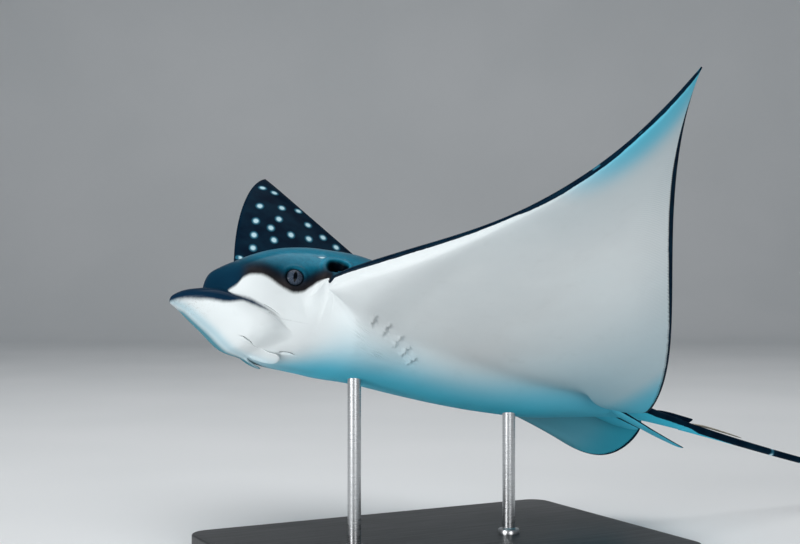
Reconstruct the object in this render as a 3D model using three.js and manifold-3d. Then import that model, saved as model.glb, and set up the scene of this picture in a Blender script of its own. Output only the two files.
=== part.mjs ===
// Spotted eagle ray, a still life-size model on a plain display stand.
// Millimetres, +Z up.  The ray heads towards -X, nose raised and left side raised.
// The body is laid out flat first: f runs forward from a zero mark just ahead of the bill
// (so the bill tip is at f = -20), s is the distance out from the midline and u is up.
// Each wing is then swept into its beat by carrying its plan onto two edge curves.
import * as THREE from 'three';
import { LoftGeometry } from 'three/addons/geometries/LoftGeometry.js';
import { mergeVertices } from 'three/addons/utils/BufferGeometryUtils.js';
import Module from 'manifold-3d';

const wasm = await Module();
wasm.setup();

// ---------------------------------------------------------------- driving dimensions
const HALF_SPAN = 700;            // midline to wing tip, wing laid flat
const PITCH = THREE.MathUtils.degToRad(15.33);   // nose raised
const BANK = THREE.MathUtils.degToRad(12.71);    // left side raised
const PIVOT_F = -420;             // body station that stands over the middle of the base
const PIVOT_Z = 270;              // its height above the floor
const GAP = 0.3;                  // clearance between touching pieces
const FLAP_GAP = 1.0;             // clearance between the jaw and the nasal flap
const EDGE = 0.4;                 // half thickness of the fin margins
const F_BILL = -21.2;             // front of the bill
const F_FOREHEAD = -60.5;         // where the forehead rises from the bill
const F_HEAD = -62;               // bill to head
const F_FILLET = -152;            // where the wing roots begin to swell
const F_BILL_END = -200;          // the bill is lost in the throat from here on
const F_NECK = -188;              // head to trunk, where the wings start
const F_VENT = -700;              // trunk to tail base, where the wings end
const F_TAIL = -930;              // tail base to the whip of the tail
const F_TIP = -2750;              // end of the tail
const EYE_F = -145.6;
const EYE_S = 73.5;
const EYE_U = 22;
const EYE_R = 12.5;
const BASE_X = 600;
const BASE_Y = 420;
const BASE_H = 18;
const ROD_R = 9;
const ROD_FRONT_F = -290;
const ROD_REAR_F = -540;
const ROD_SINK = 14;              // how far a rod goes up into the belly
const ROD_SEAT = 8;               // how far a rod goes down into the base

// ---------------------------------------------------------------- smooth tables
// A table holds [station, value] pairs; values between them follow a monotone cubic.
function table(pairs) {
  const p = pairs.slice().sort((a, b) => a[0] - b[0]);
  const x = p.map((q) => q[0]);
  const y = p.map((q) => q[1]);
  const n = x.length;
  const h = [];
  const d = [];
  for (let i = 0; i < n - 1; i++) {
    h.push(x[i + 1] - x[i]);
    d.push((y[i + 1] - y[i]) / h[i]);
  }
  const m = [d[0]];
  for (let i = 1; i < n - 1; i++) {
    const flat = d[i - 1] * d[i] <= 0;
    const w = 3 * (h[i - 1] + h[i]);
    m.push(flat ? 0 : w / ((2 * h[i] + h[i - 1]) / d[i - 1] + (h[i] + 2 * h[i - 1]) / d[i]));
  }
  m.push(d[n - 2]);
  return (v) => {
    const c = Math.min(Math.max(v, x[0]), x[n - 1]);
    let i = 0;
    while (i < n - 2 && c > x[i + 1]) i++;
    const t = (c - x[i]) / h[i];
    const a = y[i] * (1 + 2 * t) * (1 - t) ** 2 + y[i + 1] * t * t * (3 - 2 * t);
    return a + h[i] * (m[i] * t * (1 - t) ** 2 - m[i + 1] * t * t * (1 - t));
  };
}

const clamp = (v, a, b) => Math.min(Math.max(v, a), b);

function smooth(v, a, b) {
  const t = clamp((v - a) / (b - a), 0, 1);
  return t * t * (3 - 2 * t);
}

function smoothMin(a, b, k) {
  const h = clamp(0.5 + 0.5 * (b - a) / k, 0, 1);
  return b + (a - b) * h - k * h * (1 - h);
}

// Head, trunk and tail base: back line, belly line, half width and height of the widest line.
const crown = table([[-60.5, -4], [-61.2, 8], [-63, 18.5], [-66, 25], [-72, 31], [-80, 37.5],
  [-90, 44.5], [-110, 58.5], [-135, 72.2], [-150, 78.2], [-190, 88], [-250, 93], [-340, 88],
  [-450, 70], [-550, 50], [-650, 32], [-720, 20], [-780, 12], [-850, 8.5], [-900, 6.8],
  [-1000, 5.6]]);
const belly = table([[-60.5, -6], [-66, -19], [-80, -35], [-110, -58], [-140, -71.5],
  [-170, -73.5], [-200, -71.5], [-240, -68], [-300, -62.5], [-360, -61.5], [-420, -61.5],
  [-480, -59.5], [-530, -55.5], [-580, -50], [-660, -32.5], [-720, -19], [-780, -11],
  [-850, -8], [-900, -6.7], [-1000, -5.6]]);
const width = table([[-60.5, 4], [-63.5, 14], [-66.8, 22], [-71.5, 34], [-77, 46], [-86, 59],
  [-110, 73], [-145, 83], [-185, 94], [-250, 112], [-350, 112], [-450, 96], [-550, 75],
  [-650, 55], [-700, 43], [-740, 26], [-780, 14.5], [-850, 8.8], [-900, 6.8], [-1000, 5.6]]);
const waist = table([[-60.5, 0], [-80, 4], [-145, 16], [-190, 14], [-260, 4], [-400, 0],
  [-1000, 0]]);
// The fleshy bill under the forehead.
const billTop = table([[-20, -21.5], [-21.2, -18.5], [-24, -15.5], [-29, -11.5], [-35, -8.3],
  [-45, -5], [-54, -2.5], [-65, -0.8], [-78, -2], [-100, -12], [-130, -26], [-160, -42],
  [-200, -52]]);
const billBottom = table([[-20, -22.5], [-21.2, -25], [-24, -26.8], [-33, -28], [-44, -30.8],
  [-58, -37.8], [-71, -44.5], [-85, -52.2], [-98, -60.5], [-115, -69], [-130, -72.8],
  [-150, -71.5], [-165, -67.5], [-180, -62], [-200, -54]]);
const billWidth = table([[-20, 0], [-21.2, 7], [-24, 15], [-33, 28], [-50, 45], [-70, 58],
  [-95, 68], [-120, 73.5], [-135, 71.5], [-150, 67], [-165, 60], [-180, 50], [-200, 38]]);
const billMiddle = table([[-20, -22.5], [-50, -19], [-80, -22], [-110, -30], [-160, -45]]);

// ---------------------------------------------------------------- plan of a wing
function lead(s) {
  const q = (s - 110) / 590;
  return -190 - 240 * q + 140 * q * (1 - q);
}

function trailLine(s) {
  const q = (s - 130) / 570;
  return -765 + 335 * q + 120 * q * (1 - q) + 160 * q * (1 - q) * (2 * q - 1);
}

// Trailing edge, rounded at the free rear corner into the short inner margin.
function trail(s) {
  const a = trailLine(s);
  const b = -700 - 1.6 * (s - 45);
  const m = Math.max(a, b);
  return m + 12 * Math.log(Math.exp((a - m) / 12) + Math.exp((b - m) / 12));
}

// ---------------------------------------------------------------- the skin as a level
// Each function is negative inside the flesh and zero on the skin.
function oval(s, u, w, c, top, bottom, nTop, nBottom) {
  const up = u > c;
  const h = up ? Math.max(top - c, 0.1) : Math.max(c - bottom, 0.1);
  const e = up ? nTop : nBottom;
  const r = (Math.abs(s / Math.max(w, 0.1)) ** e + Math.abs((u - c) / h) ** e) ** (1 / e);
  return (1 - 1 / Math.max(r, 1e-3)) * Math.hypot(s, u - c);
}

function bodyLevel(f, s, u) {
  return oval(s, u, width(f), waist(f), crown(f), belly(f), 2.3, 2.3);
}

// The front of the wing root sits a little above the middle plane.
function rootLift(f, s) {
  return 19 * (1 - smooth(s, 100, 170)) * (smooth(-f, 165, 187) - smooth(-f, 200, 300));
}

function wingLevel(f, s, u) {
  const a = lead(s);
  const chord = Math.max(a - trail(s), 4);
  const v = (a - f) / chord;
  const q = clamp((s - 100) / 600, 0, 1);
  const c = clamp(v, 0, 1);
  const tip = clamp((HALF_SPAN - s) / 60, 0.05, 1) ** 0.7;
  const root = 0.5 * (52 * (1 - q) ** 1.3 + 7.5 * tip);
  const rim = 0.9 * Math.sqrt(clamp(Math.min(c, 1 - c) * chord / 3, 0, 1));
  let h = root * 2.65 * Math.sqrt(c) * (1 - c) ** 1.05 + rim;
  const out = Math.max(-v, v - 1) * chord;
  if (out > 0) h = -out;
  if (s > HALF_SPAN) h = Math.min(h, HALF_SPAN - s);
  return Math.abs(u - rootLift(f, s)) - h;
}

function level(f, s, u) {
  let a = bodyLevel(f, s, u);
  if (f > F_FOREHEAD) a = 20 + f - F_FOREHEAD;
  let b = oval(s, u, billWidth(f), billMiddle(f), billTop(f), billBottom(f), 2.2, 2.1);
  b = f < F_BILL_END ? 30 : b + 30 * smooth(-f, 120, -F_BILL_END);
  const d = smoothMin(a, b, 6 + 22 * smooth(-f, 95, 135) * smooth(u, -66, -45));
  if (f >= F_FILLET) return d;
  const under = 30 * smooth(-u, -15, 10);
  const k = 30 + (28 + under) * smooth(-f, 152, 188) - (28 + under) * smooth(-f, 240, 330);
  return smoothMin(d, wingLevel(f, s, u), k);
}

// Distance from an inner point to the skin along a direction in the section.
function reach(f, s, u, ds, du) {
  let lo = 0;
  let hi = 220;
  for (let i = 0; i < 30; i++) {
    const mid = (lo + hi) / 2;
    if (level(f, s + ds * mid, u + du * mid) < 0) lo = mid;
    else hi = mid;
  }
  return lo;
}

// ---------------------------------------------------------------- the wing beat
// Edge curves of the raised wings: five-span Bezier curves from root to tip.
const LEFT = {
  lead: [[-174.3, 94.8, 10.5], [-144.7, 206.4, 3], [-175.6, 325.3, 0.6],
    [-234.3, 440.5, 15.2], [-288.5, 534.7, 73.7], [-331.4, 598.4, 188.1]],
  trail: [[-714.9, 95.8, -23.8], [-658.4, 211.1, -6.2], [-556.4, 323.8, 24.3],
    [-449.9, 426.7, 69.6], [-363.1, 513, 125.6], [-331.3, 598.3, 188]],
};
const RIGHT = {
  lead: [[-187.3, -99, 9.3], [-252, -203.6, -1.5], [-242.1, -340.1, 36.2],
    [-224.8, -399.9, 152.1], [-225.4, -413.6, 320.2], [-310.8, -494.1, 378.3]],
  trail: [[-850.7, -88.3, -9.7], [-747.1, -137, -164.4], [-623.8, -164.9, 101.6],
    [-433.9, -314.2, 193], [-347.6, -394.1, 310.3], [-311, -494, 378.4]],
};

function bernstein(points, t) {
  const n = points.length - 1;
  const out = new THREE.Vector3();
  let c = 1;
  for (let i = 0; i <= n; i++) {
    out.addScaledVector(new THREE.Vector3(...points[i]), c * t ** i * (1 - t) ** (n - i));
    c = c * (n - i) / (i + 1);
  }
  return out;
}

// Point and slope on an edge curve, carried on straight beyond its two ends.
function edge(points, t) {
  const tc = clamp(t, 0, 1);
  const steps = points.slice(1).map((p, i) => p.map((v, k) => 5 * (v - points[i][k])));
  const slope = bernstein(steps, tc);
  return { at: bernstein(points, tc).addScaledVector(slope, t - tc), slope };
}

function beat(f, s, u, side) {
  const wing = side > 0 ? LEFT : RIGHT;
  const front = smooth(-f, 200, 260);
  const rear = smooth(-f, 580, 720);
  const lo = 85 - 30 * front - 30 * rear;
  const hi = 175 - 95 * rear;
  const w = smooth((s - lo) / (hi - lo), 0, 1);
  const flat = new THREE.Vector3(f, s * side, u);
  if (w === 0) return flat;
  const t = (s - 110) / 590;
  const chord = lead(s) - trailLine(s);
  const v = (lead(s) - f) / Math.max(chord, 4);
  const L = edge(wing.lead, t);
  const T = edge(wing.trail, t);
  const across = L.slope.clone().lerp(T.slope, v).multiplyScalar(side);
  const along = L.at.clone().sub(T.at);
  const normal = along.clone().cross(across).normalize();
  let arch = 0.1 * smooth(s, 100, 400);
  if (side < 0) arch += 0.3 * smooth(s, 60, 160) * (1 - smooth(s, 240, 500));
  const vc = clamp(v, 0, 1);
  const p = L.at.clone().addScaledVector(along, -v);
  p.addScaledVector(normal, u + arch * vc * (1 - vc) * chord);
  return flat.lerp(p, w);
}

// ---------------------------------------------------------------- body to stand frame
const FORWARD = new THREE.Vector3(-Math.cos(PITCH), 0, Math.sin(PITCH));
const LEVEL_UP = new THREE.Vector3(Math.sin(PITCH), 0, Math.cos(PITCH));
const LEFTWARD = new THREE.Vector3(0, -Math.cos(BANK), 0).addScaledVector(LEVEL_UP, Math.sin(BANK));
const UPWARD = FORWARD.clone().cross(LEFTWARD);

function place(p) {
  return new THREE.Vector3(0, 0, PIVOT_Z)
    .addScaledVector(FORWARD, p.x - PIVOT_F)
    .addScaledVector(LEFTWARD, p.y)
    .addScaledVector(UPWARD, p.z);
}

const skinPoint = (f, s, u, side) => place(beat(f, s, u, side));
const bodyPoint = (f, l, u) => place(new THREE.Vector3(f, l, u));

// ---------------------------------------------------------------- closed solids
// Welds a loft into one closed body and turns it so its faces look outwards.
function weld(geometry) {
  const g = new THREE.BufferGeometry();
  g.setAttribute('position', geometry.attributes.position.clone());
  if (geometry.index) g.setIndex(Array.from(geometry.index.array));
  const m = mergeVertices(g, 1e-3);
  const idx = Array.from(m.index.array);
  const pos = m.attributes.position;
  const keep = [];
  let volume = 0;
  const v = [new THREE.Vector3(), new THREE.Vector3(), new THREE.Vector3()];
  for (let i = 0; i < idx.length; i += 3) {
    const [a, b, c] = [idx[i], idx[i + 1], idx[i + 2]];
    if (a === b || b === c || c === a) continue;
    keep.push(a, b, c);
    v[0].fromBufferAttribute(pos, a);
    v[1].fromBufferAttribute(pos, b);
    v[2].fromBufferAttribute(pos, c);
    volume += v[0].dot(v[1].clone().cross(v[2]));
  }
  if (volume < 0) {
    for (let i = 0; i < keep.length; i += 3) keep.splice(i, 3, keep[i], keep[i + 2], keep[i + 1]);
  }
  m.setIndex(keep);
  return m;
}

function toManifold(geometry) {
  const g = weld(geometry);
  const mesh = new wasm.Mesh({
    numProp: 3,
    vertProperties: new Float32Array(g.attributes.position.array),
    triVerts: new Uint32Array(g.index.array),
  });
  mesh.merge();
  return new wasm.Manifold(mesh);
}

function fromManifold(manifold) {
  const mesh = manifold.getMesh();
  const g = new THREE.BufferGeometry();
  const count = mesh.vertProperties.length / mesh.numProp;
  const pos = new Float32Array(count * 3);
  for (let i = 0; i < count; i++) {
    for (let k = 0; k < 3; k++) pos[i * 3 + k] = mesh.vertProperties[i * mesh.numProp + k];
  }
  g.setAttribute('position', new THREE.BufferAttribute(pos, 3));
  g.setIndex(Array.from(mesh.triVerts));
  return g;
}

// A loft whose two ends are closed by folding the end section onto its own middle line.
// pairs[k] is the point of the section that lies opposite point k.
function foldedLoft(sections, opposite) {
  const fold = (ring) => ring.map((p, k) => p.clone().lerp(ring[opposite(k, ring.length)], 0.5));
  return new LoftGeometry([fold(sections[0]), ...sections, fold(sections[sections.length - 1])]);
}

// ---------------------------------------------------------------- head and bill
const FAN = 14;
const heart = table([[-20, -22.5], [-50, -23], [-62, -12], [-90, -10], [-150, -4], [-188, 0]]);

function fanRing(f, middle) {
  const ring = [];
  const w = Math.max(f > F_BILL_END ? billWidth(f) : 0, f < F_FOREHEAD ? width(f) : 0);
  const half = (side) => {
    const out = [];
    for (let k = 0; k <= FAN; k++) {
      const b = k / FAN;
      const phi = Math.PI / 2 - Math.PI * b;
      const s = 0.4 * w * Math.sin(Math.PI * b);
      const d = reach(f, s, middle, Math.cos(phi), Math.sin(phi));
      out.push(skinPoint(f, s + d * Math.cos(phi), middle + d * Math.sin(phi), side));
    }
    return out;
  };
  const left = half(1);
  const right = half(-1);
  ring.push(...left, ...right.slice(1, FAN).reverse());
  return ring;
}

// In a fan ring point k goes down the left side and back up the right one.
const fanOpposite = (k, n) => (k <= FAN ? FAN - k : n - (k - FAN));

function headSolid(from, to, count, crowding) {
  const rings = [];
  for (let i = 0; i <= count; i++) {
    const f = from + (to - from) * (i / count) ** crowding;
    rings.push(fanRing(f, heart(f)));
  }
  return foldedLoft(rings, fanOpposite);
}

// ---------------------------------------------------------------- trunk and wings
const STATIONS = 15;
const cutLine = table([[-188, 104], [-230, 107], [-300, 107], [-400, 101], [-500, 87],
  [-600, 67], [-660, 53], [-700, 43]]);
const stationShare = (j) => 0.5 * (j / STATIONS) + 0.25 * (1 - Math.cos(Math.PI * j / STATIONS));
const stationF = (j) => F_NECK - 0.2 + (F_VENT - F_NECK + 0.2) * stationShare(j);

function surface(f, s) {
  return {
    top: Math.max(reach(f, s, 0, 0, 1), EDGE),
    bottom: Math.max(reach(f, s, 0, 0, -1), EDGE),
  };
}

const ACROSS = 6;

function trunkRing(f, wider, taller) {
  const cut = cutLine(f) + wider;
  const half = (side) => {
    const top = [];
    const bottom = [];
    for (let k = 0; k <= ACROSS; k++) {
      const s = cut * Math.sin(Math.PI / 2 * k / ACROSS);
      const h = surface(f, s);
      top.push(skinPoint(f, s, h.top + taller, side));
      bottom.push(skinPoint(f, s, -h.bottom - taller, side));
    }
    return [...top, ...bottom.reverse()];
  };
  const left = half(1);
  const right = half(-1);
  return [...left, ...right.slice(1, -1).reverse()];
}

const trunkHalf = 2 * ACROSS + 1;
const trunkOpposite = (k, n) => (k <= trunkHalf ? trunkHalf - k : n - (k - trunkHalf));

function trunkSolid(wider, taller) {
  const rings = [];
  for (let j = 0; j <= STATIONS; j++) {
    let shift = 0;
    if (j === 0) shift = 4 * wider - GAP;
    if (j === STATIONS) shift = -wider;
    rings.push(trunkRing(stationF(j) + shift, wider, taller));
  }
  return foldedLoft(rings, trunkOpposite);
}

const SPANS = 19;

function wingSolid(side) {
  const sections = [];
  const offset = [];
  const inside = 3;
  for (let i = 0; i <= SPANS; i++) {
    const a = i / SPANS;
    const sLead = 104.4 + (HALF_SPAN - 1.5 - 104.4) * a;
    const sTrail = 43.5 + (HALF_SPAN - 1.5 - 43.5) * (0.35 * a + 0.65 * a * a);
    const from = new THREE.Vector2(Math.min(lead(sLead), F_NECK - GAP - 0.2), sLead);
    const to = new THREE.Vector2(trail(sTrail), sTrail);
    if (i === 0) to.set(F_VENT, cutLine(F_VENT) - inside);
    const top = [];
    const bottom = [];
    for (let j = 0; j <= STATIONS; j++) {
      const q = from.clone().lerp(to, stationShare(j));
      if (i === 0) {
        const root = new THREE.Vector2(j === 0 ? from.x : stationF(j), 0);
        root.y = cutLine(root.x) - inside;
        offset.push(root.clone().sub(q));
        q.copy(root);
      } else {
        q.addScaledVector(offset[j], Math.max(0, 1 - i / 4));
      }
      const h = surface(q.x, q.y);
      const rim = j === 0 || j === STATIONS ? EDGE : 0;
      top.push(skinPoint(q.x, q.y, rim || h.top, side));
      bottom.push(skinPoint(q.x, q.y, -(rim || h.bottom), side));
    }
    sections.push([...top, ...bottom.reverse()]);
  }
  return foldedLoft(sections, (k, n) => n - 1 - k);
}

// ---------------------------------------------------------------- tail
// Middle line of the tail: straight behind the body, then rising slowly and swinging out.
const tailU = table([[-700, 0], [-930, -1], [-1130, 1.6], [-1300, 30], [-1600, 110],
  [-2000, 225], [-2750, 450]]);
const tailL = table([[-700, 0], [-930, -9], [-1130, -22], [-1500, -38], [-2000, -30],
  [-2750, 60]]);
const tailR = table([[-700, 30], [-850, 8.6], [-930, 6.4], [-1000, 5.6], [-1150, 5.1],
  [-1500, 4.2], [-2000, 3], [-2750, 1.1]]);
const AROUND = 10;

function tubeRing(f, grow) {
  const ring = [];
  for (let k = 0; k < AROUND; k++) {
    const a = 2 * Math.PI * (k + 0.5) / AROUND;
    const r = tailR(f) + grow;
    ring.push(bodyPoint(f, tailL(f) + r * Math.cos(a), tailU(f) + r * Math.sin(a)));
  }
  return ring;
}

const tubeOpposite = (k, n) => n - 1 - k;

function tubeSolid(from, to, count) {
  const rings = [];
  for (let i = 0; i <= count; i++) rings.push(tubeRing(from + (to - from) * i / count, 0));
  return foldedLoft(rings, tubeOpposite);
}

// Tail base: from the full width between the wings down to the round tail.
function baseRing(f, grow) {
  const ring = [];
  for (let k = 0; k < 16; k++) {
    const a = 2 * Math.PI * (k + 0.5) / 16;
    const ca = Math.cos(a);
    const sa = Math.sin(a);
    const h = sa > 0 ? crown(f) : -belly(f);
    const r = (Math.abs(ca / (width(f) + grow)) ** 2.3 + Math.abs(sa / (h + grow)) ** 2.3) ** (-1 / 2.3);
    const p = beat(f, Math.abs(r * ca), r * sa, ca < 0 ? -1 : 1);
    p.y += tailL(f) * smooth(-f, 700, 850);
    ring.push(place(p));
  }
  return ring;
}

function tailBaseSolid(grow) {
  const rings = [];
  for (let i = 0; i <= 13; i++) {
    const from = F_VENT + 8;
    rings.push(baseRing(from + (F_TAIL + GAP - grow - from) * i / 13, grow));
  }
  return foldedLoft(rings, tubeOpposite);
}

// ---------------------------------------------------------------- small fins
// A blade along a spine of stations: each station is [f, l, u, half width, half thickness, roll].
function bladeSolid(stations) {
  const sections = stations.map(([f, l, u, w, h, roll]) => {
    const out = [];
    for (let k = 0; k < 12; k++) {
      const a = 2 * Math.PI * (k + 0.5) / 12;
      const x = w * Math.cos(a);
      const y = h * Math.sin(a);
      const c = Math.cos(roll);
      const n = Math.sin(roll);
      out.push(bodyPoint(f, l + x * c - y * n, u + x * n + y * c));
    }
    return out;
  });
  return foldedLoft(sections, tubeOpposite);
}

const PELVIC_LEFT = [[-706, 36, -22, 11, 4, -0.2], [-718, 42, -28, 18, 3.6, -0.2],
  [-735, 45, -33, 20, 3, -0.15], [-765, 47, -40, 19, 2.2, -0.1], [-790, 49, -46, 16, 1.6, 0],
  [-810, 50, -50, 10, 1.2, 0], [-819, 50, -51, 4, 0.8, 0]];
const PELVIC_RIGHT = [[-712, -36, -10, 11, 4, 0.2], [-722, -43, -11, 18, 3.6, 0.2],
  [-738, -47, -12, 20, 3, 0.15], [-765, -50, -12, 19, 2.2, 0.1], [-790, -53, -12, 16, 1.6, 0],
  [-810, -55, -11, 10, 1.2, 0], [-819, -55, -11, 4, 0.8, 0]];

// Dorsal fin: upright sections from its sunken foot to its swept top.
function dorsalSolid() {
  const rows = [[4, -800, -876, 3.4], [7, -804, -879, 3], [9.5, -808, -883, 2.4],
    [11.8, -815, -886, 1.8], [13.6, -830, -887, 1.2], [14.5, -848, -886, 0.8]];
  const sections = rows.map(([u, front, back, h]) => {
    const out = [];
    for (let k = 0; k < 14; k++) {
      const a = 2 * Math.PI * (k + 0.5) / 14;
      const c = Math.cos(a);
      const f = (front + back) / 2 + (front - back) / 2 * c;
      out.push(bodyPoint(f, tailL(f) * smooth(-f, 700, 850) + h * Math.sin(a), u));
    }
    return out;
  });
  return foldedLoft(sections, tubeOpposite);
}

// Sting: a flat barbed blade lying along the top of the tail behind the dorsal fin.
function stingSolid() {
  const rows = [[-889, 9.2, 3.2, 1.4], [-900, 9.6, 3.6, 1.5], [-930, 10, 3.3, 1.3],
    [-960, 9.8, 2.6, 1.1], [-985, 9.6, 1.6, 0.8], [-996, 9.5, 0.7, 0.5]];
  return bladeSolid(rows.map(([f, u, w, h]) => [f, tailL(f), u, w, h, 0]));
}

// Nasal curtain: the two-lobed flap under the snout, a thin plate just clear of the jaw.
function curtainSolid() {
  const sections = [];
  const rear = (s) => -160 + 14 * Math.exp(-((s / 9) ** 2)) + 22 * (Math.abs(s) / 42) ** 6;
  for (let i = 0; i <= 12; i++) {
    const s = -42 + 84 * i / 12;
    const side = s < 0 ? -1 : 1;
    const upper = [];
    const lower = [];
    for (let j = 0; j <= 4; j++) {
      const f = -108 + (rear(s) + 108) * j / 4;
      const rim = Math.min(j, 4 - j, i, 12 - i) === 0 ? 0.9 : 2.6;
      const d = reach(f, Math.abs(s), -20, 0, -1) + 20;
      upper.push(skinPoint(f, Math.abs(s), -d - FLAP_GAP, side));
      lower.push(skinPoint(f, Math.abs(s), -d - FLAP_GAP - rim, side));
    }
    sections.push([...upper, ...lower.reverse()]);
  }
  return foldedLoft(sections, (k, n) => n - 1 - k);
}

// ---------------------------------------------------------------- stand
function rod(f) {
  const probe = bodyPoint(f, 0, -reach(f, 0, 0, 0, -1));
  const bottom = BASE_H - ROD_SEAT;
  const top = probe.z + ROD_SINK;
  const make = (grow, low, high) => {
    const g = new THREE.CylinderGeometry(ROD_R + grow, ROD_R + grow, high - low, 28);
    g.rotateX(Math.PI / 2);
    g.translate(probe.x, probe.y, (low + high) / 2);
    return g;
  };
  return { body: make(0, bottom, top), room: make(GAP, bottom - GAP, top + GAP) };
}

function baseGeometry() {
  const r = 30;
  const x = BASE_X / 2;
  const y = BASE_Y / 2;
  const shape = new THREE.Shape();
  shape.moveTo(-x + r, -y);
  shape.lineTo(x - r, -y);
  shape.absarc(x - r, -y + r, r, -Math.PI / 2, 0);
  shape.lineTo(x, y - r);
  shape.absarc(x - r, y - r, r, 0, Math.PI / 2);
  shape.lineTo(-x + r, y);
  shape.absarc(-x + r, y - r, r, Math.PI / 2, Math.PI);
  shape.lineTo(-x, -y + r);
  shape.absarc(-x + r, -y + r, r, Math.PI, 1.5 * Math.PI);
  const g = new THREE.ExtrudeGeometry(shape, {
    depth: BASE_H - 2, curveSegments: 4, bevelEnabled: true,
    bevelThickness: 1, bevelSize: 1, bevelOffset: -1, bevelSegments: 1,
  });
  g.translate(0, 0, 1);
  return g;
}

// ---------------------------------------------------------------- assembly
const group = new THREE.Group();
group.name = 'spotted_eagle_ray';

function add(name, geometry, color, roughness, metalness = 0) {
  const material = new THREE.MeshStandardMaterial({ color, roughness, metalness });
  material.name = `${name}_finish`;
  const mesh = new THREE.Mesh(weld(geometry), material);
  mesh.name = name;
  mesh.geometry.computeVertexNormals();
  group.add(mesh);
}

const NAVY = 0x1f2d38;
const WHITE = 0xe9ecec;

const eyeAt = (side) => bodyPoint(EYE_F, side * EYE_S, EYE_U);
function ball(side, radius) {
  const g = new THREE.SphereGeometry(radius, 16, 10);
  const p = eyeAt(side);
  g.translate(p.x, p.y, p.z);
  return g;
}

const frontRod = rod(ROD_FRONT_F);
const rearRod = rod(ROD_REAR_F);
const frontRoom = toManifold(frontRod.room);
const rearRoom = toManifold(rearRod.room);

const head = toManifold(headSolid(F_HEAD - GAP, F_NECK, 12, 1))
  .subtract(toManifold(ball(1, EYE_R + GAP)))
  .subtract(toManifold(ball(-1, EYE_R + GAP)));
const trunk = toManifold(trunkSolid(0, 0)).subtract(frontRoom).subtract(rearRoom);
const wingRoom = toManifold(trunkSolid(GAP, 3));
const tailRoom = toManifold(tailBaseSolid(GAP));
const tailBase = toManifold(tailBaseSolid(0)).subtract(wingRoom);
const wingLeft = toManifold(wingSolid(1)).subtract(wingRoom).subtract(tailRoom);
const wingRight = toManifold(wingSolid(-1)).subtract(wingRoom).subtract(tailRoom);
const pelvic = (stations) => toManifold(bladeSolid(stations)).subtract(wingRoom).subtract(tailRoom);

add('rostral_lobe', headSolid(F_BILL, F_HEAD, 9, 1.6), NAVY, 0.5);
add('head', fromManifold(head), NAVY, 0.5);
add('nasal_curtain', curtainSolid(), WHITE, 0.5);
add('eye_left', ball(1, EYE_R), 0x8a9096, 0.15);
add('eye_right', ball(-1, EYE_R), 0x8a9096, 0.15);
add('trunk', fromManifold(trunk), NAVY, 0.5);
add('pectoral_fin_left', fromManifold(wingLeft), WHITE, 0.5);
add('pectoral_fin_right', fromManifold(wingRight), NAVY, 0.5);
add('pelvic_fin_left', fromManifold(pelvic(PELVIC_LEFT)), 0xa9c3cc, 0.5);
add('pelvic_fin_right', fromManifold(pelvic(PELVIC_RIGHT)), 0xa9c3cc, 0.5);
add('tail_base', fromManifold(tailBase), NAVY, 0.5);
add('dorsal_fin', fromManifold(toManifold(dorsalSolid()).subtract(tailRoom)), NAVY, 0.5);
add('tail_sting', fromManifold(toManifold(stingSolid())), 0xb9b4a6, 0.6);
const cuts = [F_TAIL, -1150, -1500, -1900, -2330, F_TIP];
for (let i = 0; i + 1 < cuts.length; i++) {
  add(`tail_${i + 1}`, tubeSolid(cuts[i] - (i ? GAP : 0), cuts[i + 1], 6), 0x14181c, 0.55);
}
const base = toManifold(baseGeometry()).subtract(frontRoom).subtract(rearRoom);
add('stand_base', fromManifold(base), 0x2b2d30, 0.6);
add('stand_rod_front', frontRod.body, 0x8f9499, 0.3, 0.9);
add('stand_rod_rear', rearRod.body, 0x8f9499, 0.3, 0.9);

export default group;
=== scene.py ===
# %% [markdown]
# # A spotted eagle ray over a display stand
# A life-size ray is caught in mid wing beat and held over a plain base by two rods.
# The solids of the model are already in the frame. This lesson lays one continuous skin over them,
# adds eyes, sting and small fins, and gives every surface a finish worked out by nodes.

# %% Load the frame
import bpy
import numpy as np
from mathutils import Matrix, Vector


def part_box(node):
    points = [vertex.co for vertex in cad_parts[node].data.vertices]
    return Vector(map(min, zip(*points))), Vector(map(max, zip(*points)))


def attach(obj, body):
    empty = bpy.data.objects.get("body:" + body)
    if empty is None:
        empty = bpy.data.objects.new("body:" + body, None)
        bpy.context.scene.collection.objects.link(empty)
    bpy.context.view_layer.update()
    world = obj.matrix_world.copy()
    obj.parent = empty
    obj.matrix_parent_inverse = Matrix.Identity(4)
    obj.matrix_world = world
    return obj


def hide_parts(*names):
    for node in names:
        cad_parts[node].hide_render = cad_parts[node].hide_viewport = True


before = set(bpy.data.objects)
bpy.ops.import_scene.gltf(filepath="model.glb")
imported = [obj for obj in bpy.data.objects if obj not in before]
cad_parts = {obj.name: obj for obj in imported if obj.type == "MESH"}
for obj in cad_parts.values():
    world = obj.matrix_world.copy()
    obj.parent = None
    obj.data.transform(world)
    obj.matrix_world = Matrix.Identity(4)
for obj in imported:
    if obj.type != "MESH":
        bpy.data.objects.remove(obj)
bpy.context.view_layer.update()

print("nodes in the frame:", len(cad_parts))

# %% [markdown]
# ## Tables for a body's outline
# A naturalist's drawing gives a fish's height and width at a few stations. A monotone cubic through
# those stations stays smooth and never overshoots, so a short list is enough for a whole outline.
# f runs forward along the body, s out from the midline and u up, all in metres; l is s with a sign,
# positive on the left.

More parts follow.
